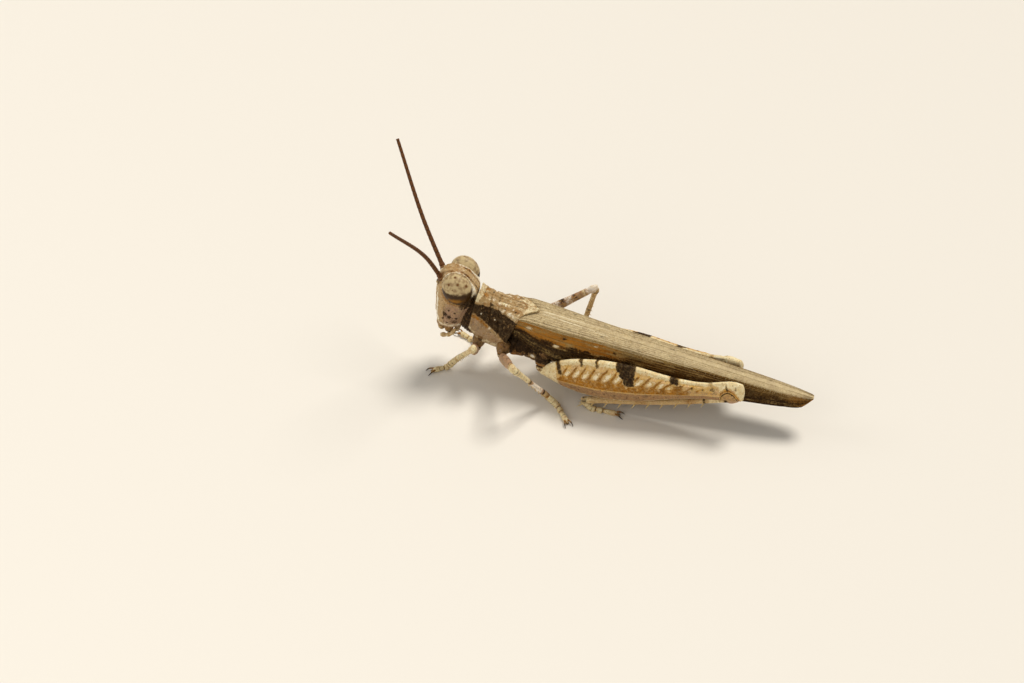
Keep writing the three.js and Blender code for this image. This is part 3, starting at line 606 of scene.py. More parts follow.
def eyeDome(side):
    local = np.stack(globe(eyeSizes["around"], eyeSizes["rings"], 0.02), -1)
    p = local * np.array(body["eyeHalf"])
    c, s = math.cos(body["eyeLean"]), math.sin(body["eyeLean"])
    centreX, centreY, centreZ = body["eyeCentre"]
    grid = np.stack([(centreX + p[..., 0]) * side, centreY + c * p[..., 1] - s * p[..., 2],
                     centreZ + s * p[..., 1] + c * p[..., 2]], -1)
    x, y, z = local[..., 0], local[..., 1], local[..., 2]
    # Below, painted shade over the eye's own brown; low on the front, a painted glow.
    return closedTube(grid, {
        "lower": 1 - rise(z + 0.14 * y, -0.12, 0.36),
        "amber": 0.95 * ridge(z, -0.42, 0.24) * ridge(y, -0.05, 0.6),
        "spot": knobs(eyeSizes["spots"], grid, side),
        "rim": 0.9 * (1 - rise(z, -0.95, -0.75)) + 0.5 * ridge(x, -0.3, 0.12),
    })


def lensCuticle(name, look):
    # Clear lens cuticle over coloured pigment: a wet gloss, with facets that break the highlight.
    # Real facets are 0.025 mm; they are drawn at twice that, so that they show.
    material, tree, place = newMaterial(name)
    cloud = addNode(tree, "ShaderNodeTexNoise", {"Scale": 1 / (look["cloud"] * mm), "Detail": 3.0},
                    {"Vector": place})
    shift = addNode(tree, "ShaderNodeMath", {1: 0.5}, {0: cloud}, operation="SUBTRACT")
    shift = addNode(tree, "ShaderNodeMath", {1: 0.7}, {0: shift}, operation="MULTIPLY")
    coats = [("cloudy", addNode(tree, "ShaderNodeMapRange", {"From Min": 0.42, "From Max": 0.64},
                                {"Value": cloud}, **softStep))]
    # Coats over the cream: painted shade below, the painted glow, the spots and the rim.
    for mask, low, high in (("lower", 0.15, 0.85), ("amber", 0.2, 0.9), ("spot", 0.25, 0.9),
                            ("rim", 0.3, 0.8)):
        value = (addNode(tree, "ShaderNodeAttribute", attribute_name=mask), "Fac")
        value = addNode(tree, "ShaderNodeMath", None, {0: value, 1: shift}, operation="ADD")
        coats.append((mask, addNode(tree, "ShaderNodeMapRange", {"From Min": low, "From Max": high},
                                    {"Value": value}, **softStep)))
    facets = addNode(tree, "ShaderNodeTexVoronoi", {"Scale": 1 / (look["facet"] * mm), "Randomness": 0.25},
                     {"Vector": place}, feature="F1")
    normal = addNode(tree, "ShaderNodeBump", {"Strength": 0.35, "Distance": look["facetHeight"] * mm},
                     {"Height": facets}, invert=True)
    shader = addNode(tree, "ShaderNodeBsdfPrincipled",
                     {"Roughness": 0.45, "IOR": 1.4, "Specular IOR Level": 0.2, "Coat Weight": 0.06,
                      "Coat Roughness": 0.15},
                     {"Base Color": coated(tree, look, "upper", coats), "Normal": normal})
    addNode(tree, "ShaderNodeOutputMaterial", None, {"Surface": shader})
    return material


headCuticle = cuticle("mottledHeadCuticle", headLook)
eyeCuticle = lensCuticle("compoundEyeLens", eyeLook)
addPiece("head_capsule", makeHead(), headCuticle, "head_shell", "head")
for sideName, side in sides:
    addPiece("eye_dome_" + sideName, eyeDome(side), eyeCuticle, "eye", "eye_" + sideName)


# Simple eyes: three glassy beads, one on the face keel and one beside each feeler.
def bead(centre, half, squash=0.7):
    x, z, y = globe(20, 12, 0.05)
    grid = np.stack([x * half, y * half * squash, z * half], -1) + np.array(centre)
    return closedTube(grid, {"lower": 0.15})


ocelli = [bead((0, body["faceY"] + eyeSizes["faceBeadY"], headSizes["ocellusZ"]), eyeSizes["faceBeadHalf"])]
for sideName, side in sides:
    beadX, beadZ = eyeSizes["bead"]
    ocelli.append(bead((beadX * side, body["faceY"] + eyeSizes["beadY"], beadZ), eyeSizes["beadHalf"]))
addPiece("ocelli", together(ocelli), eyeCuticle, "eye")

# Feelers: a stout scape and pedicel, then a thread of short ring joints.
# Thin brown cuticle, a little glossier than the head, that darkens at each joint.
feelerLook = {
    "base": "#6b4427", "cloudy": "#55341c", "bright": "#8c6239", "pale": "#a98054", "dark": "#3d2614",
    "fleck": "#3a2414", "cloud": 0.8, "ragged": 0.12, "fleckGap": 0.12, "fleckShare": 0.2, "grain": 0.04,
    "gloss": 0.48,
}
feelerSizes = {
    "root": (0.4, -7.78, 8.72), "scapeHalf": 0.29, "scapeLong": 0.62, "pedicelLong": 0.3,
    "threadHalf": 0.185, "tipHalf": 0.13, "jointLong": 0.46, "waist": 0.12, "sides": 14,
    "paths": {"left": [(2.05, -8.7, 12.35), (6.05, -10.2, 17.75)],
              "right": [(-2.6, -10.28, 12.1), (-6.05, -13.35, 16.7)]},
    # Along each joint, and its size as a share of scapeHalf.
    "scape": [(0, 0.7), (0.35, 0.95), (0.7, 1), (1, 0.8)],
    "pedicel": [(0, 0.66), (0.5, 0.8), (1, 0.68)],
}


def ringedThreadTree():
    # Ring joints along a line that narrows from root to tip, with a waist and a dark seam between them.
    tree, start = newTree("ringedThread", {"Joint Length": "Float", "Root Half": "Float", "Tip Half": "Float",
                                           "Waist": "Float"})
    fine = addNode(tree, "ShaderNodeMath", {1: 0.1}, {0: (start, "Joint Length")}, operation="MULTIPLY")
    line = addNode(tree, "GeometryNodeResampleCurve", None, {"Curve": start, "Length": fine}, mode="LENGTH")
    spline = addNode(tree, "GeometryNodeSplineParameter")
    joint = addNode(tree, "ShaderNodeMath", None, {0: (spline, "Length"), 1: (start, "Joint Length")},
                    operation="DIVIDE")
    part = addNode(tree, "ShaderNodeMath", None, {0: joint}, operation="FRACT")
    fromMiddle = addNode(tree, "ShaderNodeMath", {1: 0.5}, {0: part}, operation="SUBTRACT")
    fromMiddle = addNode(tree, "ShaderNodeMath", None, {0: fromMiddle}, operation="ABSOLUTE")
    seam = addNode(tree, "ShaderNodeMapRange", {"From Min": 0.34, "From Max": 0.5}, {"Value": fromMiddle},
                   **softStep)
    taper = addNode(tree, "ShaderNodeMapRange", None, {
        "Value": (spline, "Factor"), "To Min": (start, "Root Half"), "To Max": (start, "Tip Half")})
    pinch = addNode(tree, "ShaderNodeMath", None, {0: seam, 1: (start, "Waist")}, operation="MULTIPLY")
    keep = addNode(tree, "ShaderNodeMath", {0: 1.0}, {1: pinch}, operation="SUBTRACT")
    half = addNode(tree, "ShaderNodeMath", None, {0: taper, 1: keep}, operation="MULTIPLY")
    kept = addNode(tree, "GeometryNodeStoreNamedAttribute", {"Name": "dark"},
                   {"Geometry": line, "Value": seam}, data_type="FLOAT", domain="POINT")
    return endTree(tree, start, roundSkin(tree, start, kept, half))


def curveOf(name, points):
    curve = bpy.data.curves.new(name, "CURVE")
    curve.dimensions = "3D"
    spline = curve.splines.new("POLY")
    placed = rowPlace(points)
    spline.points.add(len(placed) - 1)
    spline.points.foreach_set("co", np.hstack([placed, np.ones((len(placed), 1))]).ravel())
    return curve


feelerCuticle = cuticle("feelerCuticle", feelerLook)
threadTree = ringedThreadTree()
for sideName, side in sides:
    root = np.array(feelerSizes["root"]) * [side, 1, 1]
    line = route([root, *feelerSizes["paths"][sideName]])
    scapeShare = feelerSizes["scapeLong"] / line[2]
    baseShare = (feelerSizes["scapeLong"] + feelerSizes["pedicelLong"]) / line[2]
    h = feelerSizes["scapeHalf"]
    inward = along(line, 0.0) - ahead(line, 0.0) * 0.3
    scapeRows, pedicelRows = ([[at, h * size, h * size] for at, size in feelerSizes[part]]
                              for part in ("scape", "pedicel"))
    scape = tube(route([inward, along(line, scapeShare)]), scapeRows, around=24, rings=20)
    pedicel = tube(route([along(line, scapeShare * 0.96), along(line, baseShare)]), pedicelRows, around=20,
                   rings=10)
    base = together([closedTube(scape.grid, {"pale": 0.6 * rise(scape.t, 0.85, 1)}),
                     closedTube(pedicel.grid, {"dark": 0.6 * (1 - rise(pedicel.t, 0, 0.3))})])
    addPiece("scape_" + sideName + "_shell", base, feelerCuticle, "antenna", "scape_" + sideName)
    threadLine = along(line, np.linspace(baseShare * 0.97, 0.995, 60))
    threadName = "antenna_" + sideName + "_thread"
    thread = grown(threadName, curveOf("antennaLine", threadLine), threadTree, {
        "Joint Length": feelerSizes["jointLong"] * mm, "Root Half": feelerSizes["threadHalf"] * mm,
        "Tip Half": feelerSizes["tipHalf"] * mm, "Waist": feelerSizes["waist"],
        "Sides": feelerSizes["sides"], "Material": feelerCuticle})
    addPiece(threadName, thread, feelerCuticle, "antenna", "antenna_" + sideName)
print("head, eyes and feelers made")

# Mouth parts: the lip plate in front, jaws, jointed palps and the lower lip behind.
# Pale, smooth cuticle that turns dark and horny along the biting edges.
mouthLook = {
    "base": "#c9ad7c", "cloudy": "#a58353", "bright": "#e2d0a6", "rosy": "#b29479", "dark": "#2e1c0e",
    "warm": "#8c622f", "pale": "#e8d9b4", "fleck": "#6b4c28", "cloud": 0.4, "ragged": 0.14, "fleckGap": 0.16,
    "fleckShare": 0.3, "grain": 0.05, "gloss": 0.5,
}
# Places are along the body from the face, and up from the top or the end of the mouth.
mouthSizes = {
    "lip": [[0, 0.28, 0.84], [0.5, 0.27, 0.76], [0.85, 0.22, 0.55], [1, 0.1, 0.32]],
    "jaw": [[0, 0.4, 0.5], [0.5, 0.38, 0.42], [0.85, 0.3, 0.32], [1, 0.16, 0.16]],
    "lowerLip": [[0, 0.22, 0.72], [0.5, 0.22, 0.68], [0.85, 0.18, 0.5], [1, 0.1, 0.3]],
    "teeth": 6,
    "palp": [(1.2, 1.45, 0.5), (1.16, 1.05, 0.24), (1.04, 0.55, 0.06)],
    "palpHalf": 0.15, "palpTips": [0.17, 0.18, 0.2],
    "smallPalp": [(0.5, 1.6, 0.4), (0.62, 1.3, 0.16), (0.6, 0.95, 0.1)],
}
mouthCuticle = cuticle("mouthCuticle", mouthLook)
mouthTop = body["chinZ"] + 0.06
faceY, mouthZ = body["faceY"], body["mouthZ"]

lip = tube(route([(0, faceY + 0.24, mouthTop), (0, faceY + 0.42, mouthZ)]), mouthSizes["lip"], around=60,
           rings=36, lift=(0, -1, 0), power=2.6, dome=0.4)
lipNotch = 0.07 * ridge(lip.c, 0, 0.12) * rise(lip.t, 0.6, 1)
lipSeam = ridge(lip.t, 0.34, 0.05)
lipGrid = pushed(lip.grid, -lipNotch - 0.05 * lipSeam + 0.015 * clouds(lip.grid, 0.2, 2))
lipMasks = {"warm": 0.8 * lipSeam, "rosy": 0.6 * (1 - rise(lip.t, 0.2, 0.5)),
            "pale": 0.7 * rise(lip.t, 0.75, 1)}
addPiece("labrum_plate", closedTube(lipGrid, lipMasks), mouthCuticle, "mouthparts", "labrum")

for sideName, side in sides:
    jaw = tube(route([(0.58 * side, faceY + 0.99, mouthTop), (0.42 * side, faceY + 1.0, mouthZ + 0.08)]),
               mouthSizes["jaw"], around=32, rings=26, lift=(0, -1, 0))
    teeth = 0.04 * np.sin(jaw.turn * mouthSizes["teeth"]) * rise(jaw.t, 0.75, 1)
    jawMasks = {"dark": rise(jaw.t, 0.45, 0.85), "warm": 1 - rise(jaw.t, 0.5, 0.7)}
    addPiece("mandible_" + sideName + "_jaw", closedTube(pushed(jaw.grid, teeth), jawMasks), mouthCuticle,
             "mouthparts", "mandible_" + sideName)
    joints = []
    knuckles = [(x * side, faceY + y, mouthZ + z) for x, y, z in mouthSizes["palp"]]
    knuckles.insert(0, (1.0 * side, faceY + 1.72, mouthTop - 0.1))
    for a, b, tipHalf in zip(knuckles, knuckles[1:], mouthSizes["palpTips"]):
        root = mouthSizes["palpHalf"] * 0.7
        rows = [[0, root, root], [0.75, tipHalf, tipHalf], [1, tipHalf * 0.8, tipHalf * 0.8]]
        joint = tube(route([a, b]), rows, around=18, rings=12, dome=0.6)
        joints.append(closedTube(joint.grid, {"dark": 0.5 * (1 - rise(joint.t, 0, 0.2)),
                                              "pale": 0.6 * rise(joint.t, 0.5, 1)}))
    small = [(x * side, faceY + y, mouthZ + z) for x, y, z in mouthSizes["smallPalp"]]
    for a, b in zip(small, small[1:]):
        joint = tube(route([a, b]), [[0, 0.08, 0.08], [0.7, 0.12, 0.12], [1, 0.09, 0.09]], around=14, rings=9)
        joints.append(closedTube(joint.grid, {"pale": 0.6 * rise(joint.t, 0.5, 1)}))
    addPiece("palp_" + sideName + "_joints", together(joints), mouthCuticle, "mouthparts", "palp_" + sideName)

lowerLip = tube(route([(0, faceY + 1.68, mouthTop), (0, faceY + 1.6, mouthZ + 0.04)]), mouthSizes["lowerLip"],
                around=44, rings=24, lift=(0, -1, 0), power=2.4)
lowerSplit = ridge(lowerLip.c, 0, 0.07) * rise(lowerLip.t, 0.35, 0.6)
lowerMasks = {"dark": 0.7 * lowerSplit, "rosy": 0.7 * (1 - rise(lowerLip.t, 0.2, 0.5))}
addPiece("labium_lip", closedTube(pushed(lowerLip.grid, -0.09 * lowerSplit), lowerMasks), mouthCuticle,
         "mouthparts", "labium")

# Pronotum: a pinched saddle with a keel, cross grooves, low tubercles and a raised rim.
# Thick, pitted cuticle: marbled tan and brown, with cream dots and a dark band on the side, its own
# dark brown painted near black, partly as painted shade.
shieldLook = {
    "base": "#b79766", "cloudy": "#88653a", "bright": "#e4d2aa", "warm": "#9a651f", "rosy": "#a48a6d",
    "pale": "#dfcea4", "dark": "#2a1803", "white": "#e9dcc0", "fleck": "#553a1a",
    "cloud": 0.42, "ragged": 0.24, "fleckGap": 0.18, "fleckShare": 0.6, "grain": 0.07, "gloss": 0.55,
    "light": 0.8,
}
shieldSizes = {
    "frontY": -4.78, "cheekY": -5.4, "power": 2.7, "across": 190, "along": 130, "thick": 0.14,
    # Along y: height of the top, half width and height of the lower edge. Then the hind edge's y from
    # the keel to the lower corner, and each groove's y and bow.
    "top": [[-5.4, 8.6], [-4.78, 8.32], [-4.2, 8.02], [-2.6, 7.5], [0, 7.1]],
    "half": [[-5.4, 1.5], [-4.2, 1.5], [-2.9, 1.66], [-1.4, 1.74], [0, 1.7]],
    "low": [[-5.4, 5.3], [-4.85, 4.5], [-4.3, 4.08], [-3.1, 3.9], [-2.3, 4.35], [-1.6, 5.3]],
    "hind": [[0, 0], [0.42, -1.28], [0.7, -1.62], [1, -2.35]],
    "grooves": [(-4.38, 0.5), (-3.82, 0.8), (-3.2, 1.2)],
    # The dark side band lies between these heights.
    "bandTop": [[-5.5, 7.72], [-4.27, 7.46], [-3.1, 7.22], [-1.8, 6.76], [-1.2, 6.55]],
    "bandLow": [[-5.5, 6.95], [-5.0, 6.7], [-4.12, 6.1], [-2.95, 5.2], [-2.4, 4.6], [-1.7, 4.3]],
    "tubercles": 150,
    # Cream knobs on both sides: x, y, z and size.
    "knobs": [
        (1.51, -3.67, 5.55, 0.15), (1.32, -4.39, 6.8, 0.07), (1.37, -3.28, 6.5, 0.07),
        (1.34, -3.0, 6.1, 0.05), (1.0, -2.68, 7.14, 0.19), (1.1, -2.16, 7.05, 0.18),
        (1.22, -1.84, 6.97, 0.15), (0.6, -3.1, 7.56, 0.15), (0.55, -2.55, 7.5, 0.17),
        (0.75, -1.95, 7.3, 0.12), (0.5, -3.6, 7.78, 0.14), (0.85, -4.65, 8.15, 0.12),
        (1.42, -4.9, 6.7, 0.06), (1.45, -2.9, 5.9, 0.05),
    ],
}


def shieldGrid(inset):
    across = np.linspace(-1, 1, shieldSizes["across"])[None, :]
    run = np.linspace(0, 1, shieldSizes["along"])[:, None]
    share = np.abs(across)
    front = shieldSizes["frontY"] + (shieldSizes["cheekY"] - shieldSizes["frontY"]) * share ** 1.6
    y = front + (eased(shieldSizes["hind"], share) - front) * run
    angle = across * np.pi * 0.5
    c, s = squared(np.sin(angle), np.cos(angle), shieldSizes["power"])
    x = c * (eased(shieldSizes["half"], y) - inset)
    low = eased(shieldSizes["low"], y)
    z = low + s * (eased(shieldSizes["top"], y) - low - inset)
    return np.stack([np.broadcast_to(x, z.shape), y, z], -1), share + 0 * run, run + 0 * across


def makeShield():
    grid, share, run = shieldGrid(0)
    x, y, z = grid[..., 0], grid[..., 1], grid[..., 2]
    side = np.abs(x)
    keel = ridge(x, 0, 0.075)
    cuts = (1 - rise(share, 0.72, 0.86)) * (1 - 0.5 * ridge(share, 0.38, 0.05)) * sum(
        ridge(y, grooveY + 0.25 * bow * share - 0.1 * bow * (share < 0.001), 0.06)
        for grooveY, bow in shieldSizes["grooves"])
    push = 0.09 * keel * (1 - 0.9 * np.clip(cuts, 0, 1)) - 0.075 * cuts
    push += 0.05 * ridge(share, 0.385, 0.03) * rise(y, -3.2, -2.7)
    push += 0.04 * ridge(share, 0.37, 0.03) * (1 - rise(y, -4.5, -4.1))
    rim = np.maximum.reduce([ridge(run, 0.02, 0.025), ridge(run, 0.985, 0.02), ridge(share, 0.985, 0.018)])
    push += 0.035 * rim - 0.03 * np.maximum(ridge(run, 0.07, 0.025), ridge(share, 0.945, 0.02))
    white = 0.0
    for knob in shieldSizes["knobs"]:
        for sign in (1, -1):
            white = white + 0.85 * knobs([knob], grid, sign)
            push += 0.55 * knob[3] * knobs([knob], grid, sign, 1.15)
    rng = np.random.default_rng(11)
    for _ in range(shieldSizes["tubercles"]):
        u, v = rng.uniform(-0.62, 0.62), rng.uniform(0.08, 0.96)
        if v < 0.5 and rng.uniform() < 0.45:
            continue
        i = int(v * (shieldSizes["along"] - 1))
        j = int((u + 1) / 2 * (shieldSizes["across"] - 1))
        away = np.linalg.norm(grid - grid[i, j], axis=-1)
        push += rng.uniform(0.015, 0.04) * ridge(away, 0, rng.uniform(0.05, 0.1))
    push += 0.014 * clouds(grid, 0.14, 1) + 0.015 * clouds(grid * [1, 0.4, 1], 0.3, 4)
    outer = pushed(grid, push, wrapped=False)
    inner = shieldGrid(shieldSizes["thick"])[0]
    inner[..., 2] = np.minimum(inner[..., 2], outer[..., 2] - 0.02 * (1 - share))
    # The side band: the saddle's own dark brown, painted near black, partly as painted shade.
    bandTop, bandLow = eased(shieldSizes["bandTop"], y), eased(shieldSizes["bandLow"], y)
    band = rise(z, bandLow - 0.1, bandLow + 0.1) * (1 - rise(z, bandTop - 0.08, bandTop + 0.08))
    top = 1 - rise(share, 0.4, 0.48)
    cloudy = clouds(grid, 0.35, 6)
    dark = (band * (0.92 + 0.15 * clouds(grid, 0.3, 8)) + 0.62 * ridge(side, 0.88, 0.11) * top
            * within(y, -4.2, -1.2, 0.3) * (0.6 + 0.5 * np.sin(y * 6.5))
            + 0.45 * ridge(side, 0.3, 0.06) * top * within(y, -3.6, -1.0, 0.3) + 0.45 * cuts * top
            + 0.6 * rise(clouds(grid, 0.2, 13), 0.5, 0.85) * within(share, 0.6, 0.95, 0.03))
    masks = {
        "dark": np.clip(dark, 0, 1) * (1 - np.clip(white, 0, 1)),
        "warm": 0.9 * within(z, bandLow - 0.42, bandLow - 0.05, 0.12) * (1 - rise(y, -4.0, -3.5))
        + dots([(-3.25, 4.55, 0.45), (-5.05, 5.95, 0.35)], y, z) * 0.8
        + 0.85 * dots([(-4.3, 0.34, 0.26)], y, side) * top
        + 0.5 * ridge(side, 0.7, 0.16) * top * within(y, -3.4, -0.6, 0.3)
        + 0.4 * ridge(side, 1.2, 0.15) * within(y, -3.0, -1.4, 0.3),
        "rosy": (0.75 + 0.2 * cloudy) * (1 - rise(z, bandLow - 0.5, bandLow - 0.15)),
        "pale": (0.5 + 0.4 * cloudy) * (rise(run, 0.68, 0.98) * (1 - rise(share, 0.5, 0.65))
                                        + ridge(side, 0.52, 0.16) * top * rise(y, -4.2, -3.8))
        + 0.3 * np.maximum(cloudy, 0) * top + 0.35 * keel * top + 0.5 * ridge(share, 0.97, 0.03)
        + 0.8 * (1 - rise(run, 0.03, 0.14)) * (1 - rise(share, 0.42, 0.52))
        + 0.5 * np.maximum(clouds(grid, 0.25, 2), 0) * (1 - rise(z, 5.0, 5.6)),
        "white": 0.9 * white,
    }
    return closedSheet(outer, inner, masks)


shieldCuticle = cuticle("saddleShieldCuticle", shieldLook)
addPiece("pronotum_saddle", makeShield(), shieldCuticle, "pronotum_shell", "pronotum")
print("mouth parts and pronotum made")

# Trunk: soft folded neck and prothorax, then the box of the thorax with its slanting sutures.
# Plate cuticle: browner than the saddle, with dark seams and pale blotches low on the flank. The dark
# under the wings is painted shade, and the darker upper flank is partly painted shade.
trunkLook = {
    "base": "#9a7a4d", "cloudy": "#6d4e28", "bright": "#d6c196", "warm": "#8e5a1c", "rosy": "#94755a",
    "pale": "#dac79a", "dark": "#2a1906", "white": "#e6ddc8", "fleck": "#452c10",
    "cloud": 0.42, "ragged": 0.22, "fleckGap": 0.2, "fleckShare": 0.4, "grain": 0.07, "gloss": 0.5,
    "light": 0.7,
}
trunkSizes = {
    "neckPath": [(0, -5.85, 5.8), (0, -2.86, 4.9)],
    "neckRows": [[0, 1.5, 1.12], [0.3, 1.85, 1.16], [0.62, 1.9, 1.12], [1, 1.95, 1.14]],
    "boxPath": [(0, -2.8, 4.55), (0, 3.1, 4.2)],
    "boxRows": [[0, 1.6, 1.25], [0.12, 1.85, 1.6], [0.5, 1.85, 1.7], [0.85, 1.65, 1.55], [1, 1.4, 1.2]],
    "sutures": (-1.75, -0.55, 0.75, 1.9), "slant": 0.42, "armpit": 0.48,
    # Pale blotches on the flank: y, z, half length and half height.
    "blotches": [(-0.17, 3.6, 0.3, 0.2), (1.33, 3.42, 0.55, 0.14), (0.5, 2.9, 0.3, 0.16),
                 (-0.75, 4.4, 0.22, 0.16), (0.6, 3.75, 0.3, 0.12), (2.3, 3.3, 0.35, 0.14)],
}
trunkCuticle = cuticle("pleuralCuticle", trunkLook)


def makeNeck():
    skin = tube(route(trunkSizes["neckPath"]), trunkSizes["neckRows"], around=90, rings=70, power=2.5)
    folds = ridge(np.mod(skin.t * 14, 1), 0.5, 0.22) * (1 - rise(skin.t, 0.16, 0.3))
    plate = ridge(skin.t, 0.62, 0.03) + ridge(skin.t, 0.34, 0.03)
    low = 1 - rise(skin.s, -0.75, -0.55)
    push = 0.05 * folds - 0.06 * plate - 0.05 * ridge(skin.c, 0, 0.06) * low
    push += 0.02 * clouds(skin.grid, 0.25, 2)
    return closedTube(pushed(skin.grid, push), {
        "pale": 0.6 * low, "rosy": 0.5 * rise(skin.t, 0.35, 0.5), "warm": 0.5,
        "dark": 0.75 * (1 - rise(skin.t, 0.2, 0.4)) + 0.5 * folds + 0.5 * plate,
    })


def makeTrunkBox():
    line = route(trunkSizes["boxPath"])
    skin = tube(line, trunkSizes["boxRows"], around=150, rings=150, power=2.5)
    grid = skin.grid.copy()
    above = grid[..., 2] - along(line, skin.t)[..., 2]
    grid[..., 0] *= 1 - trunkSizes["armpit"] * np.clip((above + 0.75) / 0.9, 0, 1)
    y, z, side = grid[..., 1], grid[..., 2], np.abs(grid[..., 0])
    lean = trunkSizes["slant"] * (z - 4.0)
    seams = sum(ridge(y, sutureY + lean, 0.06) for sutureY in trunkSizes["sutures"])
    flank = rise(side, 0.7, 1.1)
    low = 1 - rise(skin.s, -0.8, -0.6)
    breast = ridge(y, -1.1 + 0.5 * side, 0.05) + ridge(y, 0.7 - 0.3 * side, 0.05)
    breast += 0.6 * ridge(side, 0.55, 0.05)
    push = 0.06 * np.sin((y - lean) * 2.6) * flank - 0.1 * seams * flank
    push += 0.02 * clouds(grid, 0.3, 7) - 0.07 * breast * low
    pore = np.hypot(y + 1.35 - lean, z - 4.7)
    push += flank * (0.06 * ridge(pore, 0.13, 0.05) - 0.1 * ridge(pore, 0, 0.07))
    blotch = flank * sum(ridge(np.hypot((y - blotchY) / long, (z - blotchZ) / high), 0, 1.0)
                         for blotchY, blotchZ, long, high in trunkSizes["blotches"])
    # Painted shade: dark at the top, under the wings, and over the upper flank's own brown.
    dark = (0.95 * rise(z, 3.55, 4.2) + 0.7 * seams * flank + 0.5 * breast * low
            + (0.45 + 0.3 * clouds(grid, 0.5, 5)) * flank * (1 - low))
    return closedTube(pushed(grid, push), {
        "dark": np.clip(dark, 0, 1) * (1 - 0.9 * np.clip(blotch, 0, 1)),
        "warm": 0.95 * dots([(-1.5, 3.4, 0.5)], y, z) * flank + 0.3 * flank,
        "pale": 0.7 * low + 0.95 * blotch,
        "rosy": 0.35 * flank * (1 - rise(z, 3.6, 4.2)),
        "white": 0.9 * dots([(-0.17, 3.62, 0.8)], y, z, (1 / 0.24, 1 / 0.16)) * flank,
    })


addPiece("neck_folds", makeNeck(), trunkCuticle, "thorax_shell", "prothorax")
addPiece("thorax_plates", makeTrunkBox(), trunkCuticle, "thorax_shell", "thorax")

# Abdomen: overlapping rings, each with a soft fold and a breathing pore on its side.
# Thin, softer cuticle: even sand that darkens along each ring.
abdomenLook = {
    "base": "#bfa273", "cloudy": "#9e7f50", "bright": "#dac494", "warm": "#936732", "rosy": "#b09074",
    "pale": "#dfcda2", "dark": "#48301a", "white": "#ece0c2", "fleck": "#684a28",
    "cloud": 0.6, "ragged": 0.2, "fleckGap": 0.18, "fleckShare": 0.3, "grain": 0.06, "gloss": 0.48,
}
abdomenSizes = {
    "path": [(0, 3.15, 3.8), (0, 9, 3.35), (0, 14.3, 3.02)], "high": 1.22, "wide": 1.02, "rings": 7,
    "foldAt": -0.42,
}
tailSizes = {
    "path": [(0, 14.3, 2.95), (0, 15.5, 3.02)],
    "rows": [[0, 0.4, 0.42], [0.4, 0.42, 0.42], [0.8, 0.3, 0.3], [1, 0.1, 0.12]],
    "cercusPath": [(0.4, 14.0, 3.18), (0.47, 14.6, 3.2), (0.5, 15.05, 3.1)],
    "cercusRows": [[0, 0.2, 0.16], [0.5, 0.2, 0.17], [1, 0.06, 0.06]],
}
abdomenCuticle = cuticle("abdomenCuticle", abdomenLook)


def makeAbdomen():
    share = np.linspace(0, 1, 60)
    size = 1 - 0.55 * share ** 1.5
    size[-3:] *= [0.96, 0.85, 0.6]
    high, wide = (abdomenSizes[way] * size * 0.95 for way in ("high", "wide"))
    rows = np.stack([share, high, wide], -1).tolist()
    skin = tube(route(abdomenSizes["path"]), rows, around=110, rings=230, power=2.2)
    s, across, foldAt = skin.s, np.abs(skin.c), abdomenSizes["foldAt"]
    part = np.mod(skin.t * abdomenSizes["rings"], 1)
    lip = rise(part, 0.0, 0.86) * (1 - rise(part, 0.9, 0.98))
    flank = rise(across, 0.6, 0.8)
    pore = np.hypot((part - 0.4) * 1.6, s + 0.18)
    push = 0.075 * lip - 0.05 - 0.09 * ridge(s, foldAt, 0.07) * flank + 0.04 * ridge(pore, 0.09, 0.05) * flank
    push += 0.03 * ridge(skin.c, 0, 0.08) * rise(s, 0.5, 0.8) + 0.01 * clouds(skin.grid, 0.2, 3)
    upper = rise(s, foldAt, foldAt + 0.15)
    return closedTube(pushed(skin.grid, push), {
        "pale": 0.7 * (1 - upper) + 0.6 * ridge(part, 0.86, 0.06),
        "dark": 0.8 * ridge(part, 0.03, 0.08) * upper + ridge(pore, 0, 0.05) * flank
        + 0.6 * ridge(part, 0.45, 0.2) * ridge(across, 0.55, 0.12) * upper,
        "warm": 0.7 * upper * rise(part, 0.1, 0.5) * (1 - rise(part, 0.6, 0.8)),
        "rosy": 0.7 * ridge(s, -0.1, 0.2) * flank,
    })


addPiece("abdomen_rings", makeAbdomen(), abdomenCuticle, "abdomen_shell", "abdomen")
tail = tube(route(tailSizes["path"]), tailSizes["rows"], around=50, rings=40, power=2.2)
tailSeam = ridge(tail.s, 0.15, 0.07)
tailMasks = {"dark": 0.9 * tailSeam + 0.8 * rise(tail.t, 0.85, 1), "pale": 0.6 * (1 - rise(tail.s, -0.3, 0)),
             "warm": 0.6 * ridge(tail.t, 0.45, 0.1)}
tailGrid = pushed(tail.grid, -0.06 * tailSeam + 0.02 * np.sin(tail.t * 12))
addPiece("tail_valves", closedTube(tailGrid, tailMasks), abdomenCuticle, "abdomen_shell", "tail_plate")
for sideName, side in sides:
    spurLine = route(np.array(tailSizes["cercusPath"]) * [side, 1, 1])
    spur = tube(spurLine, tailSizes["cercusRows"], around=22, rings=24)
    spurGrid = pushed(spur.grid, 0.008 * clouds(spur.grid, 0.08, 2))
    addPiece("cercus_" + sideName + "_cone", closedTube(spurGrid, {"dark": 0.8 * rise(spur.t, 0.7, 1)}),
             abdomenCuticle, "abdomen_shell", "cercus_" + sideName)
print("trunk and abdomen made")

# Fore wings: parchment sheets folded like a roof, the left over the right, with raised veins.
# Parchment wing: dry and matt, straw on top and brown with dark spots on the side. The pale top, and the
# side that darkens downward and to near black at the rear, are partly painted light and shade.
wingLook = {
    "base": "#a98d59", "cloudy": "#8f733f", "bright": "#c9b68a", "warm": "#a46a1c", "rosy": "#4a2e06",
    "pale": "#c5b28b", "dark": "#281603", "white": "#dccdaa", "fleck": "#5d431d",
    "cloud": 0.7, "ragged": 0.16, "fleckGap": 0.24, "fleckShare": 0.3, "grain": 0.05, "gloss": 0.55,
    "tear": 2.0, "fleckTone": 0.35, "grainTone": 0.28, "through": 0.25,
}
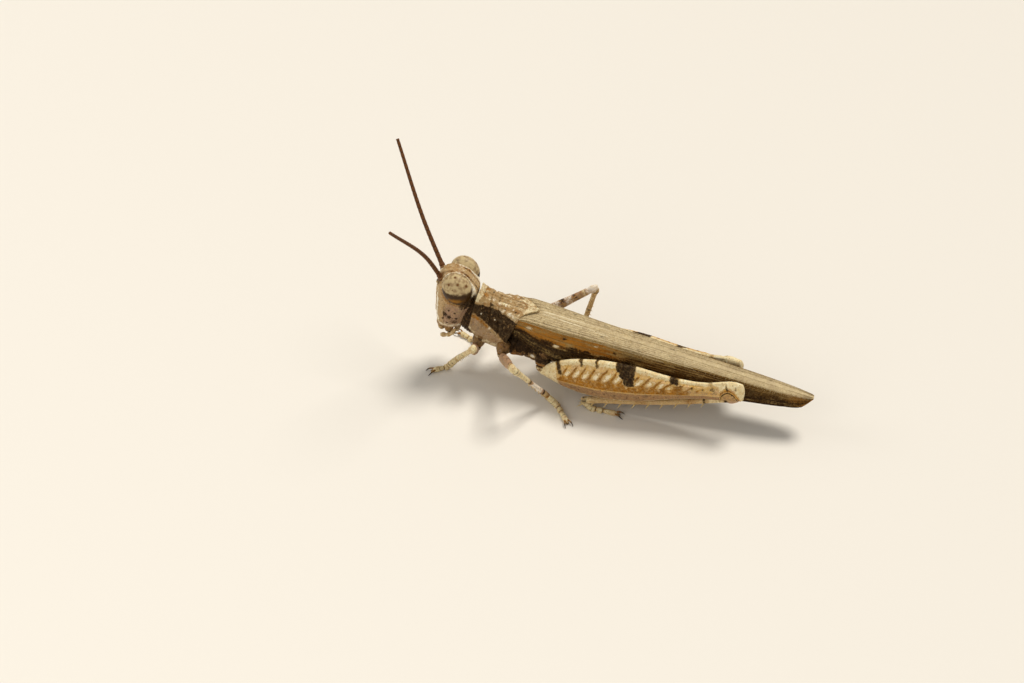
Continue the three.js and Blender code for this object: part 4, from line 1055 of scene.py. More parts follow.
# Vein cuticle: raised threads that catch the light, paler on top and darker on the side, partly as
# painted light and shade.
veinLook = {
    "base": "#94733d", "cloudy": "#7d5c2b", "bright": "#b79f6c", "pale": "#cbb992", "dark": "#3d260a",
    "fleck": "#4d3515", "cloud": 0.6, "ragged": 0.2, "fleckGap": 0.2, "fleckShare": 0.2, "grain": 0.05,
    "gloss": 0.55, "grainTone": 0.3, "through": 0.2,
}
wingSizes = {
    # Along y: half width on the back, depth of the side, and how far the side flares out.
    "back": [[-1.5, 1.42], [0, 1.42], [5, 1.22], [10, 1.1], [18, 0.92]],
    "side": [[-1.4, 1.9], [0, 2.65], [2, 3.0], [8, 2.5], [15, 1.9], [17.5, 1.5], [20, 1.1]],
    "flare": [[-1.4, 0.2], [2, 0.42], [8, 0.4], [16, 0.22], [20, 0.12]],
    "fold": 0.42, "foldRound": 0.14, "topFront": 7.0, "topDrop": 0.157, "tipRun": 2.6, "backRun": 5.2,
    # The share across runs over wide mm, from the edge on the back to the edge on the side, and
    # goes below 0 where the left wing laps over the right one.
    "wide": 5.2, "long": 23, "lapWide": 2.6, "overlap": 0.3, "thick": 0.1, "across": 120, "along": 300,
    # Each long vein: share across at the base, middle and tip, where it starts and ends, half width.
    "veins": [
        (0.02, 0.02, 0.05, 0.0, 0.99, 0.036), (0.09, 0.1, 0.14, 0.0, 0.98, 0.03),
        (0.17, 0.19, 0.22, 0.0, 0.98, 0.034), (0.25, 0.26, 0.29, 0.0, 0.985, 0.03),
        (0.33, 0.33, 0.35, 0.0, 0.985, 0.036), (0.42, 0.41, 0.41, 0.0, 0.99, 0.05),
        (0.47, 0.47, 0.47, 0.02, 0.985, 0.036), (0.53, 0.53, 0.52, 0.0, 0.985, 0.044),
        (0.53, 0.585, 0.57, 0.3, 0.98, 0.03), (0.6, 0.64, 0.62, 0.0, 0.98, 0.042),
        (0.6, 0.695, 0.68, 0.26, 0.975, 0.03), (0.68, 0.75, 0.74, 0.0, 0.97, 0.036),
        (0.76, 0.8, 0.8, 0.0, 0.965, 0.04), (0.84, 0.86, 0.86, 0.0, 0.96, 0.034),
        (0.92, 0.93, 0.92, 0.02, 0.95, 0.034), (0.99, 0.99, 0.99, 0.01, 0.97, 0.045),
    ],
    "crossGap": 0.34, "crossHalf": 0.009, "longHalf": 0.68,
    # Dark spots on the side (y, z, size) and on top (y, share across, size).
    "sideSpots": [(1.02, 5.25, 0.24), (3.12, 4.98, 0.26), (4.13, 4.89, 0.2), (5.6, 4.6, 0.26),
                  (7.4, 4.45, 0.2), (9.1, 4.1, 0.3), (10.9, 3.9, 0.2), (12.6, 3.7, 0.26),
                  (14.8, 3.5, 0.22), (2.4, 5.9, 0.12), (6.4, 5.3, 0.14), (8.4, 5.0, 0.14)],
    "topSpots": [(2.6, 0.3, 0.16), (5.2, 0.2, 0.2), (8.2, 0.32, 0.18), (10.6, 0.16, 0.16),
                 (13.2, 0.34, 0.2), (16.0, 0.24, 0.16)],
}


def wingTop(y):
    return wingSizes["topFront"] - wingSizes["topDrop"] * y


def tipShare(y, end, run):
    past = np.maximum(0, (y - (end - run)) / run)
    return np.sqrt(np.maximum(0, 1 - past * past))


def wingPoint(share, u, side, inset=0.0):
    # A point of a fore wing from its share across and its share u of the length.
    fold = wingSizes["fold"]
    share = np.asarray(share, float)
    flat = np.minimum(np.maximum(share, 0), fold) / fold
    edge = -0.45 - 1.3 * flat + 0.25 * np.maximum(0, share - 0.7)
    end = body["wingTipY"] - 2.4 * np.maximum(0, share - fold) ** 2
    y = edge + (end - edge) * (1 - (1 - u) ** 1.35)
    tip, narrow = (tipShare(np.minimum(y, body["wingTipY"]), body["wingTipY"], wingSizes[run])
                   for run in ("tipRun", "backRun"))
    back = np.maximum(0.26, eased(wingSizes["back"], y) * (0.2 + 0.8 * narrow))
    deep = np.maximum(0.34, eased(wingSizes["side"], y) * tip)
    down = np.maximum(0, share - fold) / (1 - fold)
    rounded = wingSizes["foldRound"] * ridge(share, fold, 0.1)
    x = 0.04 + (back - inset - 0.04) * flat + eased(wingSizes["flare"], y) * down - rounded
    z = wingTop(y) - inset - (deep - inset) * down - rounded * 0.8 - 0.04 * (1 - flat) ** 2
    tucked = 1 - rise(y + 1.28 * flat + 0.3 * np.maximum(0, share - fold), -0.25, 0.55)
    x = x - 0.06 * tucked * down + np.minimum(share, 0) * wingSizes["lapWide"] * np.minimum(1, back / 0.85)
    lapped = 0.05 * (1 - rise(share, 0.0, 0.12)) if side > 0 else -0.07 * (1 - rise(share, 0.05, 0.3))
    z = z - 0.15 * tucked + lapped
    return np.stack([x * side, y + 0 * x, z], -1)


def veinShare(vein, u):
    return eased([[0, vein[0]], [0.5, vein[1]], [1, vein[2]]], u)


def wingTubes(side):
    # The long and cross veins as thin lines, with their half widths and tones.
    lines, halves, darks, pales = [], [], [], []
    rng = np.random.default_rng(5)
    for vein in wingSizes["veins"]:
        u = np.linspace(vein[3], vein[4], 110)
        share = veinShare(vein, u)
        points = wingPoint(share, u, side)
        lines.append(points)
        halves.append(wingSizes["longHalf"] * vein[5] * (1 - 0.5 * u))
        # Paler on top and darker on the side, as on the sheet: partly painted light and shade.
        brink = 0.5 - 0.15 * rise(points[:, 1], 8.0, 16.0)
        pales.append(np.where(share < brink, 0.75, 0.15) + 0 * u)
        dark = 0.75 * rise(share, brink + 0.08, brink + 0.25) + 0.35 * clouds(points, 0.5, 9)
        darks.append(np.clip(dark, 0, 1))
    for first, second in zip(wingSizes["veins"], wingSizes["veins"][1:]):
        u = max(first[3], second[3]) + 0.015
        while u < min(first[4], second[4]) - 0.02:
            bend = rng.uniform(-0.006, 0.006)
            at = np.array([u, u + 0.002 + bend, u + bend])
            start = veinShare(first, at)
            share = start + (veinShare(second, at) - start) * np.array([0, 0.5, 1])
            lines.append(wingPoint(share, at, side))
            halves.append(np.full(3, wingSizes["crossHalf"]))
            pales.append(np.where(share < 0.45, 0.8, 0.1))
            darks.append(np.where(share < 0.45, 0.0, 0.3) + 0.6 * rise(share, 0.6, 0.7))
            u += wingSizes["crossGap"] / wingSizes["long"] * rng.uniform(0.55, 1.7)
    return lines, halves, darks, pales


def lineMesh(name, lines, **layers):
    points = rowPlace(np.vstack(lines))
    edges, start = [], 0
    for line in lines:
        edges += [(start + k, start + k + 1) for k in range(len(line) - 1)]
        start += len(line)
    mesh = bpy.data.meshes.new(name)
    mesh.from_pydata(points.tolist(), edges, [])
    for layerName, values in layers.items():
        addLayer(mesh, layerName, np.concatenate(values))
    return mesh


def veinTree():
    # Turns each line into a round vein with the half width that its points carry.
    tree, start = newTree("wingVeins", {"Thickness": "Float"})
    line = addNode(tree, "GeometryNodeMeshToCurve", None, {"Mesh": start})
    half = addNode(tree, "GeometryNodeInputNamedAttribute", {"Name": "half"}, data_type="FLOAT")
    sized = addNode(tree, "ShaderNodeMath", None, {0: (half, "Attribute"), 1: (start, "Thickness")},
                    operation="MULTIPLY")
    return endTree(tree, start, roundSkin(tree, start, line, sized))


def makeWing(side):
    # The left wing laps over the right one.
    first = -wingSizes["overlap"] / wingSizes["lapWide"] if side > 0 else 0.0
    across = np.linspace(first, 1, wingSizes["across"])[None, :]
    u = np.linspace(0, 1, wingSizes["along"])[:, None]
    share, run = across + 0 * u, u + 0 * across
    outer = wingPoint(share, run, side)
    inner = wingPoint(share, run, side, wingSizes["thick"])
    x, y, z = np.abs(outer[..., 0]), outer[..., 1], outer[..., 2]
    near = np.full_like(x, 9.0)
    for vein in wingSizes["veins"]:
        gap = np.abs(share - veinShare(vein, run)) * wingSizes["wide"]
        near = np.minimum(near, np.where((run > vein[3]) & (run < vein[4]), gap, 9.0))
    sag = -0.03 * rise(near, 0.02, 0.14) + 0.012 * clouds(outer * [1, 0.5, 1], 0.35, 6)
    outer = pushed(outer, sag * (1 - rise(run, 0.97, 1)), wrapped=False)
    rear = rise(y, 3.5, 10)
    tip = rise(y, 18.5, 21.5)
    brink = 0.47 - 0.15 * rise(y, 8.0, 16.0)
    brinkStep = rise(share, brink - 0.06, brink + 0.02)
    spots = dots(wingSizes["sideSpots"], y, z, (0.7, 1)) * rise(share, 0.46, 0.52)
    spots += 0.7 * dots(wingSizes["topSpots"], y, share, (0.6, 4))
    light = dots([(1.76, 5.14, 0.16)], y, z, (0.6, 1)) + dots([(4.9, 5.6, 0.1)], y, z, (0.5, 1))
    light += ridge(x, 0.12 + 0.04 * np.maximum(y, 0), 0.07) * within(y, 0.2, 5.6, 0.4) * (share < 0.4)
    light += dots([(-0.5, 6.4, 0.18)], y, z, (0.5, 1)) * 0.8
    # Torn streaks and patches that run along the wing.
    streaks, patches, topStreaks = (
        strength * clouds(np.stack([share * wingSizes["wide"], y * squeeze, 0 * y], -1), size, seed)
        for strength, squeeze, size, seed in ((0.6, 0.16, 0.13, 12), (1, 0.5, 0.45, 3), (0.3, 0.12, 0.16, 5)))
    streaks = streaks * rise(share, 0.44, 0.5)
    white = np.clip(light, 0, 1)
    # Darker towards the lower edge of the side: partly painted shade.
    dark = ((0.8 + 0.8 * streaks) * rise(share, 0.62, 0.78) * (1 - 0.45 * rear) + 0.8 * spots
            + 0.4 * np.maximum(-patches, 0) * within(share, 0.5, 0.8, 0.04) + 0.6 * ridge(share, 0.99, 0.03))
    # The pale top, and the side's near black rear, are partly painted light and shade.
    return closedSheet(outer, inner, {
        "pale": (0.85 + topStreaks) * (1 - brinkStep) + 0.25 * streaks,
        "warm": (0.85 + streaks) * within(share, brink, 0.78, 0.05) * (1 - 0.6 * rear)
        - 0.35 * np.maximum(patches, 0) + 0.7 * tip * rise(share, brink - 0.14, brink + 0.06),
        "rosy": (0.85 + streaks) * within(share, brink + 0.04, 1.1, 0.04) * rear * (1 - 0.5 * tip),
        "dark": np.clip(dark, 0, 1) * (1 - white),
        "white": white,
    })


wingCuticle = cuticle("parchmentWing", wingLook)
veinCuticle = cuticle("wingVeinCuticle", veinLook)
wingVeinTree = veinTree()
for sideName, side in sides:
    wingName = "tegmen_" + sideName
    addPiece(wingName + "_sheet", makeWing(side), wingCuticle, "tegmen", wingName)
    veinLines, veinHalves, veinDarks, veinPales = wingTubes(side)
    veinSource = lineMesh("veinLines", veinLines, half=veinHalves, dark=veinDarks, pale=veinPales)
    veins = grown(wingName + "_veins", veinSource, wingVeinTree,
                  {"Sides": 6, "Thickness": mm, "Material": veinCuticle})
    addPiece(wingName + "_veins", veins, veinCuticle, "tegmen")

# Hind wings: thin pleated fans, shut under the fore wings.
# Thin membrane: smooth, pale straw, glossier than the fore wings.
fanLook = {
    "base": "#cbbb8e", "cloudy": "#b8a674", "bright": "#ddd0a8", "dark": "#4d3d28", "fleck": "#8a7850",
    "cloud": 0.8, "ragged": 0.3, "fleckGap": 0.3, "fleckShare": 0.1, "grain": 0.05, "gloss": 0.35,
    "spec": 0.4,
}
fanSizes = {"frontY": 1.2, "hindY": 20.9, "tipRun": 3, "pleats": 7, "pleatHigh": 0.1, "thick": 0.05,
            "inFromWing": 0.62}
fanCuticle = cuticle("pleatedFanMembrane", fanLook)
for sideName, side in sides:
    across = np.linspace(0, 1, 90)[None, :]
    y = np.linspace(fanSizes["frontY"], fanSizes["hindY"], 120)[:, None] + 0 * across
    half = eased(wingSizes["back"], y) - fanSizes["inFromWing"]
    half = half * (0.3 + 0.7 * tipShare(y, fanSizes["hindY"], fanSizes["tipRun"]))
    fold = np.abs(np.mod(across * fanSizes["pleats"], 1) - 0.5) * 2
    x = 0.06 + (half - 0.06) * across
    z = wingTop(y) - fanSizes["inFromWing"] - 0.12 + fanSizes["pleatHigh"] * (fold - 0.5)
    upper = np.stack([x * side, y, z], -1)
    lower = upper - [0, 0, fanSizes["thick"]]
    fanMasks = {"dark": ridge(fold, 1, 0.12) + 0.8 * ridge(y, 15.5, 1.6)}
    addPiece("hindwing_" + sideName + "_fan", closedSheet(upper, lower, fanMasks), fanCuticle, "hindwing",
             "hindwing_" + sideName)
print("wings made")

# Legs: joints of mottled cuticle. The masks give each leg its own bands.
# Leg cuticle: sand with soft brown bands and small dark flecks.
legLook = {
    "base": "#caac79", "cloudy": "#ad8b57", "bright": "#e6d4a9", "warm": "#935f20", "rosy": "#ac8a70",
    "pale": "#e3d1a3", "dark": "#33200e", "white": "#eadecb", "fleck": "#6a4b2c",
    "cloud": 0.45, "ragged": 0.18, "fleckGap": 0.14, "fleckShare": 0.5, "grain": 0.05, "gloss": 0.5,
}
# Thigh cuticle: bright sand, with cream blobs between brown ribs and a few dark patches. The pinkish
# brown of the lower face is darkened by painted shade.
jumpLook = {
    "base": "#d6b57a", "cloudy": "#bf9349", "bright": "#f1e1b9", "warm": "#966217", "rosy": "#937050",
    "pale": "#ecdbae", "dark": "#271603", "white": "#f7e8c4", "fleck": "#6b4322",
    "cloud": 0.45, "ragged": 0.17, "fleckGap": 0.16, "fleckShare": 0.45, "grain": 0.05, "gloss": 0.54,
    "tear": 2.0, "through": 0.35,
}
legCuticle = cuticle("mottledLegCuticle", legLook)
jumpCuticle = cuticle("herringboneThighCuticle", jumpLook)
legSizes = {
    "hipRows": [[0, 0.5, 0.48], [0.45, 0.52, 0.5], [0.7, 0.42, 0.42], [0.76, 0.33, 0.33], [0.82, 0.37, 0.37],
                [0.93, 0.35, 0.35], [1, 0.28, 0.28]],
    "hindHip": 1.2,
    "thighRows": [[0, 0.24, 0.22], [0.12, 0.36, 0.33], [0.4, 0.42, 0.36], [0.75, 0.31, 0.28],
                  [0.88, 0.29, 0.27], [0.95, 0.33, 0.3], [1, 0.2, 0.22]],
    "shinRows": [[0, 0.22, 0.22], [0.06, 0.3, 0.29], [0.16, 0.22, 0.21], [0.6, 0.2, 0.19], [0.92, 0.24, 0.23],
                 [1, 0.2, 0.2]],
    "hindShinRows": [[0, 0.26, 0.24], [0.035, 0.36, 0.3], [0.09, 0.25, 0.23], [0.5, 0.23, 0.21],
                     [0.85, 0.25, 0.24], [0.96, 0.3, 0.29], [1, 0.24, 0.24]],
    # Three foot joints, as shares of footHalf, with their pads.
    "footRows": [[0, 0.7, 0.7], [0.08, 0.9, 0.9], [0.4, 1, 0.95], [0.46, 0.7, 0.68], [0.5, 0.85, 0.85],
                 [0.6, 0.9, 0.9], [0.645, 0.62, 0.6], [0.7, 0.72, 0.7], [0.93, 0.9, 0.9], [1, 0.66, 0.6]],
    "footPads": [(0.06, 0.16), (0.18, 0.27), (0.3, 0.42), (0.5, 0.61)],
    "footHalf": 0.25, "soleGap": 0.012, "clawLong": 0.62, "clawHalf": 0.075, "clawGap": 0.005,
}
jumpSizes = {
    "rows": [[0, 0.3, 0.28], [0.05, 0.72, 0.45], [0.12, 1.25, 0.6], [0.22, 1.68, 0.7], [0.34, 1.88, 0.74],
             [0.48, 1.7, 0.68], [0.6, 1.25, 0.56], [0.7, 0.92, 0.46], [0.82, 0.74, 0.38], [0.9, 0.9, 0.42],
             [0.955, 1.04, 0.45], [1, 0.84, 0.36]],
    "deepest": 1.88, "chevrons": 20, "upperRidge": 0.66, "lowerRidge": -0.2,
    # The dark saddle mark sits here along the thigh.
    "markAt": {"left": 0.452, "right": 0.485},
    "pinkSpots": (0.16, 0.2, 0.27, 0.33, 0.38, 0.44, 0.5, 0.57, 0.63), "kneeSpots": (0.76, 0.81, 0.85, 0.93),
}


def ringed(t, places, width, strength=1.0):
    return strength * sum(ridge(t, place, width) for place in places)


def makeHip(leg):
    stout = legSizes["hindHip"] if leg["kind"] == "hind" else 1.0
    rows = [[at, high * stout, wide * stout] for at, high, wide in legSizes["hipRows"]]
    skin = tube(route([leg["hip"], leg["thigh"]]), rows, around=48, rings=60, lift=(0, -1, 0))
    t = skin.t
    push = 0.02 * clouds(skin.grid, 0.2, 4) - 0.05 * ridge(t, 0.76, 0.02)
    push += 0.04 * ridge(skin.c, 0.2, 0.12) * (t < 0.7)
    # The half near the body is darker as painted shade, most on the hind hips, under the body and wings.
    shade = 0.75 if leg["kind"] == "hind" else 0.35
    cloudy = clouds(skin.grid, 0.3, 6)
    return closedTube(pushed(skin.grid, push), {
        "dark": 0.9 * ridge(t, 0.76, 0.04) + (shade + 0.35 * cloudy) * (1 - rise(t, 0.45, 0.7)),
        "pale": 0.6 * ridge(t, 0.9, 0.08)
        + (0.5 + 0.5 * cloudy) * ridge(skin.c, 0.2, 0.4) * within(t, 0.3, 0.7, 0.08),
        "rosy": 0.4 * (1 - rise(t, 0.5, 0.75)),
        "warm": 0.7 * ridge(t, 0.66, 0.09) + 0.5 * (1 - rise(t, 0.1, 0.4)),
    })


def makeSlimThigh(leg):
    thigh, knee = np.array(leg["thigh"]), np.array(leg["knee"])
    line = route([thigh + (knee - thigh) * 0.04, knee])
    skin = tube(line, legSizes["thighRows"], around=56, rings=110)
    t, s = skin.t, skin.s
    push = 0.03 * ridge(s, 1, 0.12) + 0.03 * ridge(s, -1, 0.12) - 0.02 * ridge(s, 0.45, 0.14)
    push += 0.012 * clouds(skin.grid, 0.14, 6) - 0.04 * ridge(t, 0.9, 0.018)
    bands = ringed(t, (0.3, 0.56, 0.8), 0.05)
    knee = rise(t, 0.88, 0.93)
    masks = {
        "rosy": 0.85 * (1 - rise(t, 0.78, 0.88)),
        "warm": 0.9 * rise(s, 0.45, 0.8) * (1 - knee) + 0.5 * ridge(t, 0.97, 0.03),
        "pale": 0.8 * knee + 0.6 * ridge(t, 0.84, 0.03),
        "dark": 0.5 * bands * (0.5 + 0.5 * s) + 0.6 * ridge(t, 0.9, 0.012),
    }
    if leg["name"] == "mid_right":
        patchy = 0.6 + 0.5 * clouds(skin.grid, 0.3, 2)
        masks["rosy"] = 0.6
        masks["dark"] = ringed(t, (0.24, 0.42, 0.58, 0.74), 0.04, 0.9) * patchy + 0.5 * ridge(t, 0.93, 0.015)
        masks["white"] = 0.8 * rise(t, 0.84, 0.9) + ringed(t, (0.33, 0.5, 0.66), 0.05, 0.7)
    return closedTube(pushed(skin.grid, push), masks)


def makeSlimShin(leg):
    knee, heel = np.array(leg["knee"]), np.array(leg["heel"])
    line = route([knee + (heel - knee) * 0.03, heel])
    skin = tube(line, legSizes["shinRows"], around=44, rings=120, lift=(0, -1, 0.3))
    t, s = skin.t, skin.s
    push = 0.008 * clouds(skin.grid, 0.12, 8) - 0.03 * ridge(t, 0.1, 0.012) + 0.012 * np.sin(s * 3 + t * 9)
    masks = {"pale": 0.8 * (1 - rise(t, 0.8, 0.95)), "dark": ringed(t, (0.09, 0.3, 0.52, 0.74), 0.02, 0.5)}
    if leg["name"] == "mid_left":
        masks = {
            "pale": 0.9 * (1 - rise(t, 0.38, 0.44)),
            "rosy": 0.9 * within(t, 0.46, 0.86, 0.03),
            "white": 0.8 * within(t, 0.5, 0.78, 0.03),
            "dark": ringed(t, (0.03, 0.1), 0.012, 0.6) + ringed(t, (0.44, 0.64, 0.83), 0.03, 0.8)
            + ringed(t, (0.2, 0.31), 0.01, 0.35),
            "warm": 0.7 * rise(t, 0.9, 0.95),
        }
    elif leg["name"] == "mid_right":
        masks = {"pale": 0.5, "dark": ringed(t, (0.06, 0.5), 0.02, 0.6)}
    return closedTube(pushed(skin.grid, push), masks)


def makeJumpThigh(leg):
    side = leg["side"]
    thigh, knee = np.array(leg["thigh"]), np.array(leg["knee"])
    long, climb = knee[1] - thigh[1], knee[2] - thigh[2]
    belly = (2.46 * side, thigh[1] + long * 0.32, thigh[2] + climb * 0.42)
    waist = (2.2 * side, thigh[1] + long * 0.7, thigh[2] + climb * 0.64)
    line = route([thigh, belly, waist, knee])
    skin = tube(line, jumpSizes["rows"], around=128, rings=320, lift=(leg["lean"], 0, 1), dome=0.3)
    t, s, outer = skin.t, skin.s, skin.c * side
    centre = along(line, t)
    grid = skin.grid.copy()
    flat = np.clip(np.abs(grid[..., 2] - centre[..., 2]) / jumpSizes["deepest"], 0, 1)
    grid[..., 0] = centre[..., 0] + (grid[..., 0] - centre[..., 0]) * (1 - 0.22 * flat ** 2)
    high, low = jumpSizes["upperRidge"], jumpSizes["lowerRidge"]
    shaft = within(t, 0.07, 0.82, 0.02)
    face = rise(np.abs(outer), 0.15, 0.4)
    middle = (high + low) / 2
    slope = (s - middle) / (high - middle)
    uneven = 0.12 * clouds(grid, 0.6, 3)
    beat = (t ** 0.9) * jumpSizes["chevrons"]
    phase = np.mod(beat - 0.55 * np.abs(slope) - 0.1 * slope + uneven, 1)
    field = within(s, low + 0.04, high - 0.02, 0.04) * face * within(t, 0.08, 0.8, 0.03)
    rib = ridge(phase, 0.5, 0.17) * field
    push = 0.025 * rib + 0.02 * ridge(s, middle, 0.05) * field
    push += 0.05 * (ridge(s, high, 0.045) + ridge(s, low, 0.045)) * face * shaft
    push += 0.06 * (ridge(s, 0.99, 0.05) + ridge(s, -0.99, 0.05)) * within(t, 0.04, 0.93, 0.02)
    push -= 0.04 * (ridge(s, 0.82, 0.08) + ridge(s, -0.6, 0.14)) * face * shaft
    push += 0.03 * ridge(s, -0.8, 0.04) * face * shaft
    push -= 0.06 * ridge(t, 0.895 + 0.02 * s * s, 0.008) * face
    kneeArc = np.hypot((t - 0.93) / 0.058, (s + 0.85) / 1.5)
    push += (0.05 * ridge(kneeArc, 1.0, 0.14) - 0.05 * ridge(kneeArc, 0.7, 0.1)) * face * rise(t, 0.88, 0.9)
    push -= 0.1 * ridge(s, -1, 0.35) * rise(t, 0.9, 0.94)
    push += 0.012 * clouds(grid, 0.16, 5)
    knees = rise(t, 0.88, 0.895)
    broken = clouds(grid, 0.22, 7)
    scallop = low + 0.22 + 0.12 * np.cos(2 * np.pi * beat)
    stripe = rise(s, low - 0.06, low + 0.02) * (1 - rise(s, scallop - 0.03, scallop + 0.08))
    slant = t + 0.03 * (s - 0.45) + 0.006 * broken
    middleMark = jumpSizes["markAt"]["left" if side > 0 else "right"]
    halfMark = 0.012 + 0.034 * np.clip((s - 0.05) / 0.9, 0, 1) + 0.004 * broken
    patch = (1 - rise(np.abs(slant - middleMark), halfMark - 0.008, halfMark + 0.01)) * rise(s, 0.02, 0.22)
    rearMark = within(slant, 0.665, 0.708, 0.014)
    marksAndShadow = patch + 0.9 * rearMark * rise(s, 0.5, 0.8)
    for start in (0.232, 0.308):
        marksAndShadow += 0.8 * within(slant, start, start + 0.016, 0.007) * rise(s, 0.68, 0.86)
    # A painted shadow: the dark notch between the basal lobe and the rest of the thigh.
    marksAndShadow += 0.85 * within(t + 0.02 * s * s, 0.108, 0.132, 0.008) * rise(s, 0.0, 0.4)
    marksAndShadow += 0.6 * dots([(0.925, 0.75, 0.24), (0.97, 0.6, 0.2)], t, s, (40, 1))
    marksAndShadow += 0.85 * ridge(kneeArc, 0.7, 0.07) * knees * face
    marksAndShadow += 0.45 * within(slant, 0.855, 0.872, 0.008) * (s > 0)
    ticks = (ridge(phase, 0.02, 0.13) + ridge(phase, 0.98, 0.13)) * face * within(t, 0.1, 0.8, 0.03)
    blobs = ridge(phase, 0.5, 0.25) * ridge(s, 0.44, 0.21) * face * within(t, 0.12, 0.66, 0.03)
    pinkSpots = ringed(t, jumpSizes["pinkSpots"], 0.006) * ridge(s, -0.62, 0.13)
    pinkSpots += ringed(t, jumpSizes["kneeSpots"], 0.008) * ridge(s, 0.5, 0.2)
    unmarked = 1 - np.clip(marksAndShadow, 0, 1)
    inner = (1 - rise(kneeArc, 0.58, 0.68)) * knees
    warm = (0.95 * ticks * ridge(s, 0.6, 0.22) + 0.9 * ticks * ridge(s, 0.25, 0.25)
            + (0.72 + 0.3 * broken) * within(s, low, 0.27, 0.1) * face * within(t, 0.1, 0.72, 0.03)
            - 0.6 * ridge(phase, 0.5, 0.16) * ridge(s, -0.02, 0.14) * face
            + 0.95 * stripe * face * within(t, 0.06, 0.74, 0.02) + 0.8 * rearMark * rise(s, -0.15, 0.1)
            + 0.95 * ridge(kneeArc, 0.86, 0.09) * knees * face + 0.35 * inner)
    pale = (0.5 * ridge(s, -0.97, 0.08) + 0.75 * rise(s, 0.76, 0.92) + 0.8 * (1 - rise(t, 0.085, 0.11))
            + 0.9 * rise(kneeArc, 0.98, 1.06) * knees)
    # The lower face's pinkish brown, and the dark line under the lower ridge, are partly painted shade.
    return closedTube(pushed(grid, push), {
        "warm": np.clip(warm, 0, 1) * unmarked,
        "rosy": 0.9 * (1 - rise(s, low - 0.16, low - 0.04)) * (1 - knees)
        + 0.5 * within(t, 0.72, 0.88, 0.02) * ridge(s, 0.1, 0.3) + 0.6 * inner,
        "pale": np.clip(pale, 0, 1) * unmarked,
        "white": np.clip(1.15 * blobs * (0.8 + 0.4 * broken), 0, 1) * unmarked,
        "dark": marksAndShadow + 0.6 * pinkSpots + 0.4 * ticks * ridge(s, 0.66, 0.1)
        + 0.35 * ridge(s, low - 0.1, 0.05) * face * within(t, 0.1, 0.72, 0.03),
    })


def hindShinLine(leg):
    side = leg["side"]
    knee, heel = np.array(leg["knee"]), np.array(leg["heel"])
    start = knee + [0.02 * side, -0.42, -0.74]
    sag = (2.2 * side, (start[1] + heel[1]) / 2, heel[2] + 0.38 * (start[2] - heel[2]))
    return route([start, sag, heel])


def makeHindShin(leg):
    skin = tube(hindShinLine(leg), legSizes["hindShinRows"], around=48, rings=200)
    t, s = skin.t, skin.s
    push = 0.008 * clouds(skin.grid, 0.12, 8) - 0.03 * ridge(t, 0.065, 0.006)
    push -= 0.05 * ridge(s, -1, 0.3) * within(t, 0.08, 0.95, 0.02)
    masks = {
        "rosy": 0.9 * (1 - rise(t, 0.06, 0.1)), "warm": ringed(t, (0.3, 0.62), 0.05, 0.6),
        "pale": 0.8 * ridge(t, 0.14, 0.05) + 0.5 * rise(t, 0.9, 0.95),
        "dark": ringed(t, (0.075, 0.21), 0.012, 0.9) + 0.5 * ridge(t, 0.985, 0.02),
    }
    return closedTube(pushed(skin.grid, push), masks)


def makeFoot(leg):
    heel, pad, toe = (np.array(leg[key]) for key in ("heel", "pad", "toe"))
    line = route([heel + unit(pad - heel) * 0.02, pad, pad + (toe - pad) * 0.5, toe])
    half = legSizes["footHalf"]
    rows = [[at, high * half, wide * half] for at, high, wide in legSizes["footRows"]]
    skin = tube(line, rows, around=36, rings=110)
    t = skin.t
    pads = sum(within(t, start, end, 0.015) for start, end in legSizes["footPads"])
    push = 0.05 * pads * (1 - rise(skin.s, -0.55, -0.2)) + 0.006 * clouds(skin.grid, 0.1, 3)
    masks = {"pale": 0.8 * (1 - ringed(t, (0.45, 0.65), 0.03)), "warm": 0.6 * rise(t, 0.8, 0.95),
             "dark": 0.8 * ringed(t, (0.455, 0.645), 0.012) + 0.5 * ringed(t, (0.2, 0.34, 0.82), 0.02)}
    forward = unit((toe - pad) * [1, 1, 0])
    cushion = tube(route([toe + forward * 0.02 - [0, 0, 0.03], toe + forward * 0.26 - [0, 0, 0.08]]),
                   [[0, 0.08, 0.1], [0.6, 0.09, 0.16], [1, 0.06, 0.1]], around=20, rings=14)
    return together([
        closedTube(lifted(pushed(skin.grid, push), legSizes["soleGap"]), masks),
        closedTube(lifted(cushion.grid, legSizes["soleGap"]), {"dark": 0.6 * rise(cushion.t, 0.2, 0.6)}),
    ])


def lifted(grid, gap):
    # Flattens whatever would sink into the floor.
    grid = grid.copy()
    grid[..., 2] = np.maximum(grid[..., 2], gap)
    return grid


def makeClaws(leg):
    toe, pad = np.array(leg["toe"]), np.array(leg["pad"])
    forward = unit((toe - pad) * [1, 1, 0])
    across = np.array([-forward[1], forward[0], 0])
    long, half = legSizes["clawLong"], legSizes["clawHalf"]
    parts = []
    for lean in (-1, 1):
        places = []
        for reach, spread, height in ((-0.05, 0.1, 0.26), (long * 0.45, 0.26, 0.25),
                                      (long * 0.97, 0.32, 0.05)):
            place = toe + forward * reach + across * spread * lean
            places.append((place[0], place[1], height))
        rows = [[0, half, half], [0.5, half * 0.75, half * 0.7], [1, 0.02, 0.02]]
        claw = tube(route(places), rows, around=14, rings=24)
        parts.append(closedTube(lifted(claw.grid, legSizes["clawGap"]),
                                {"dark": rise(claw.t, 0.3, 0.75), "warm": 1 - rise(claw.t, 0.2, 0.4)}))
    return together(parts)


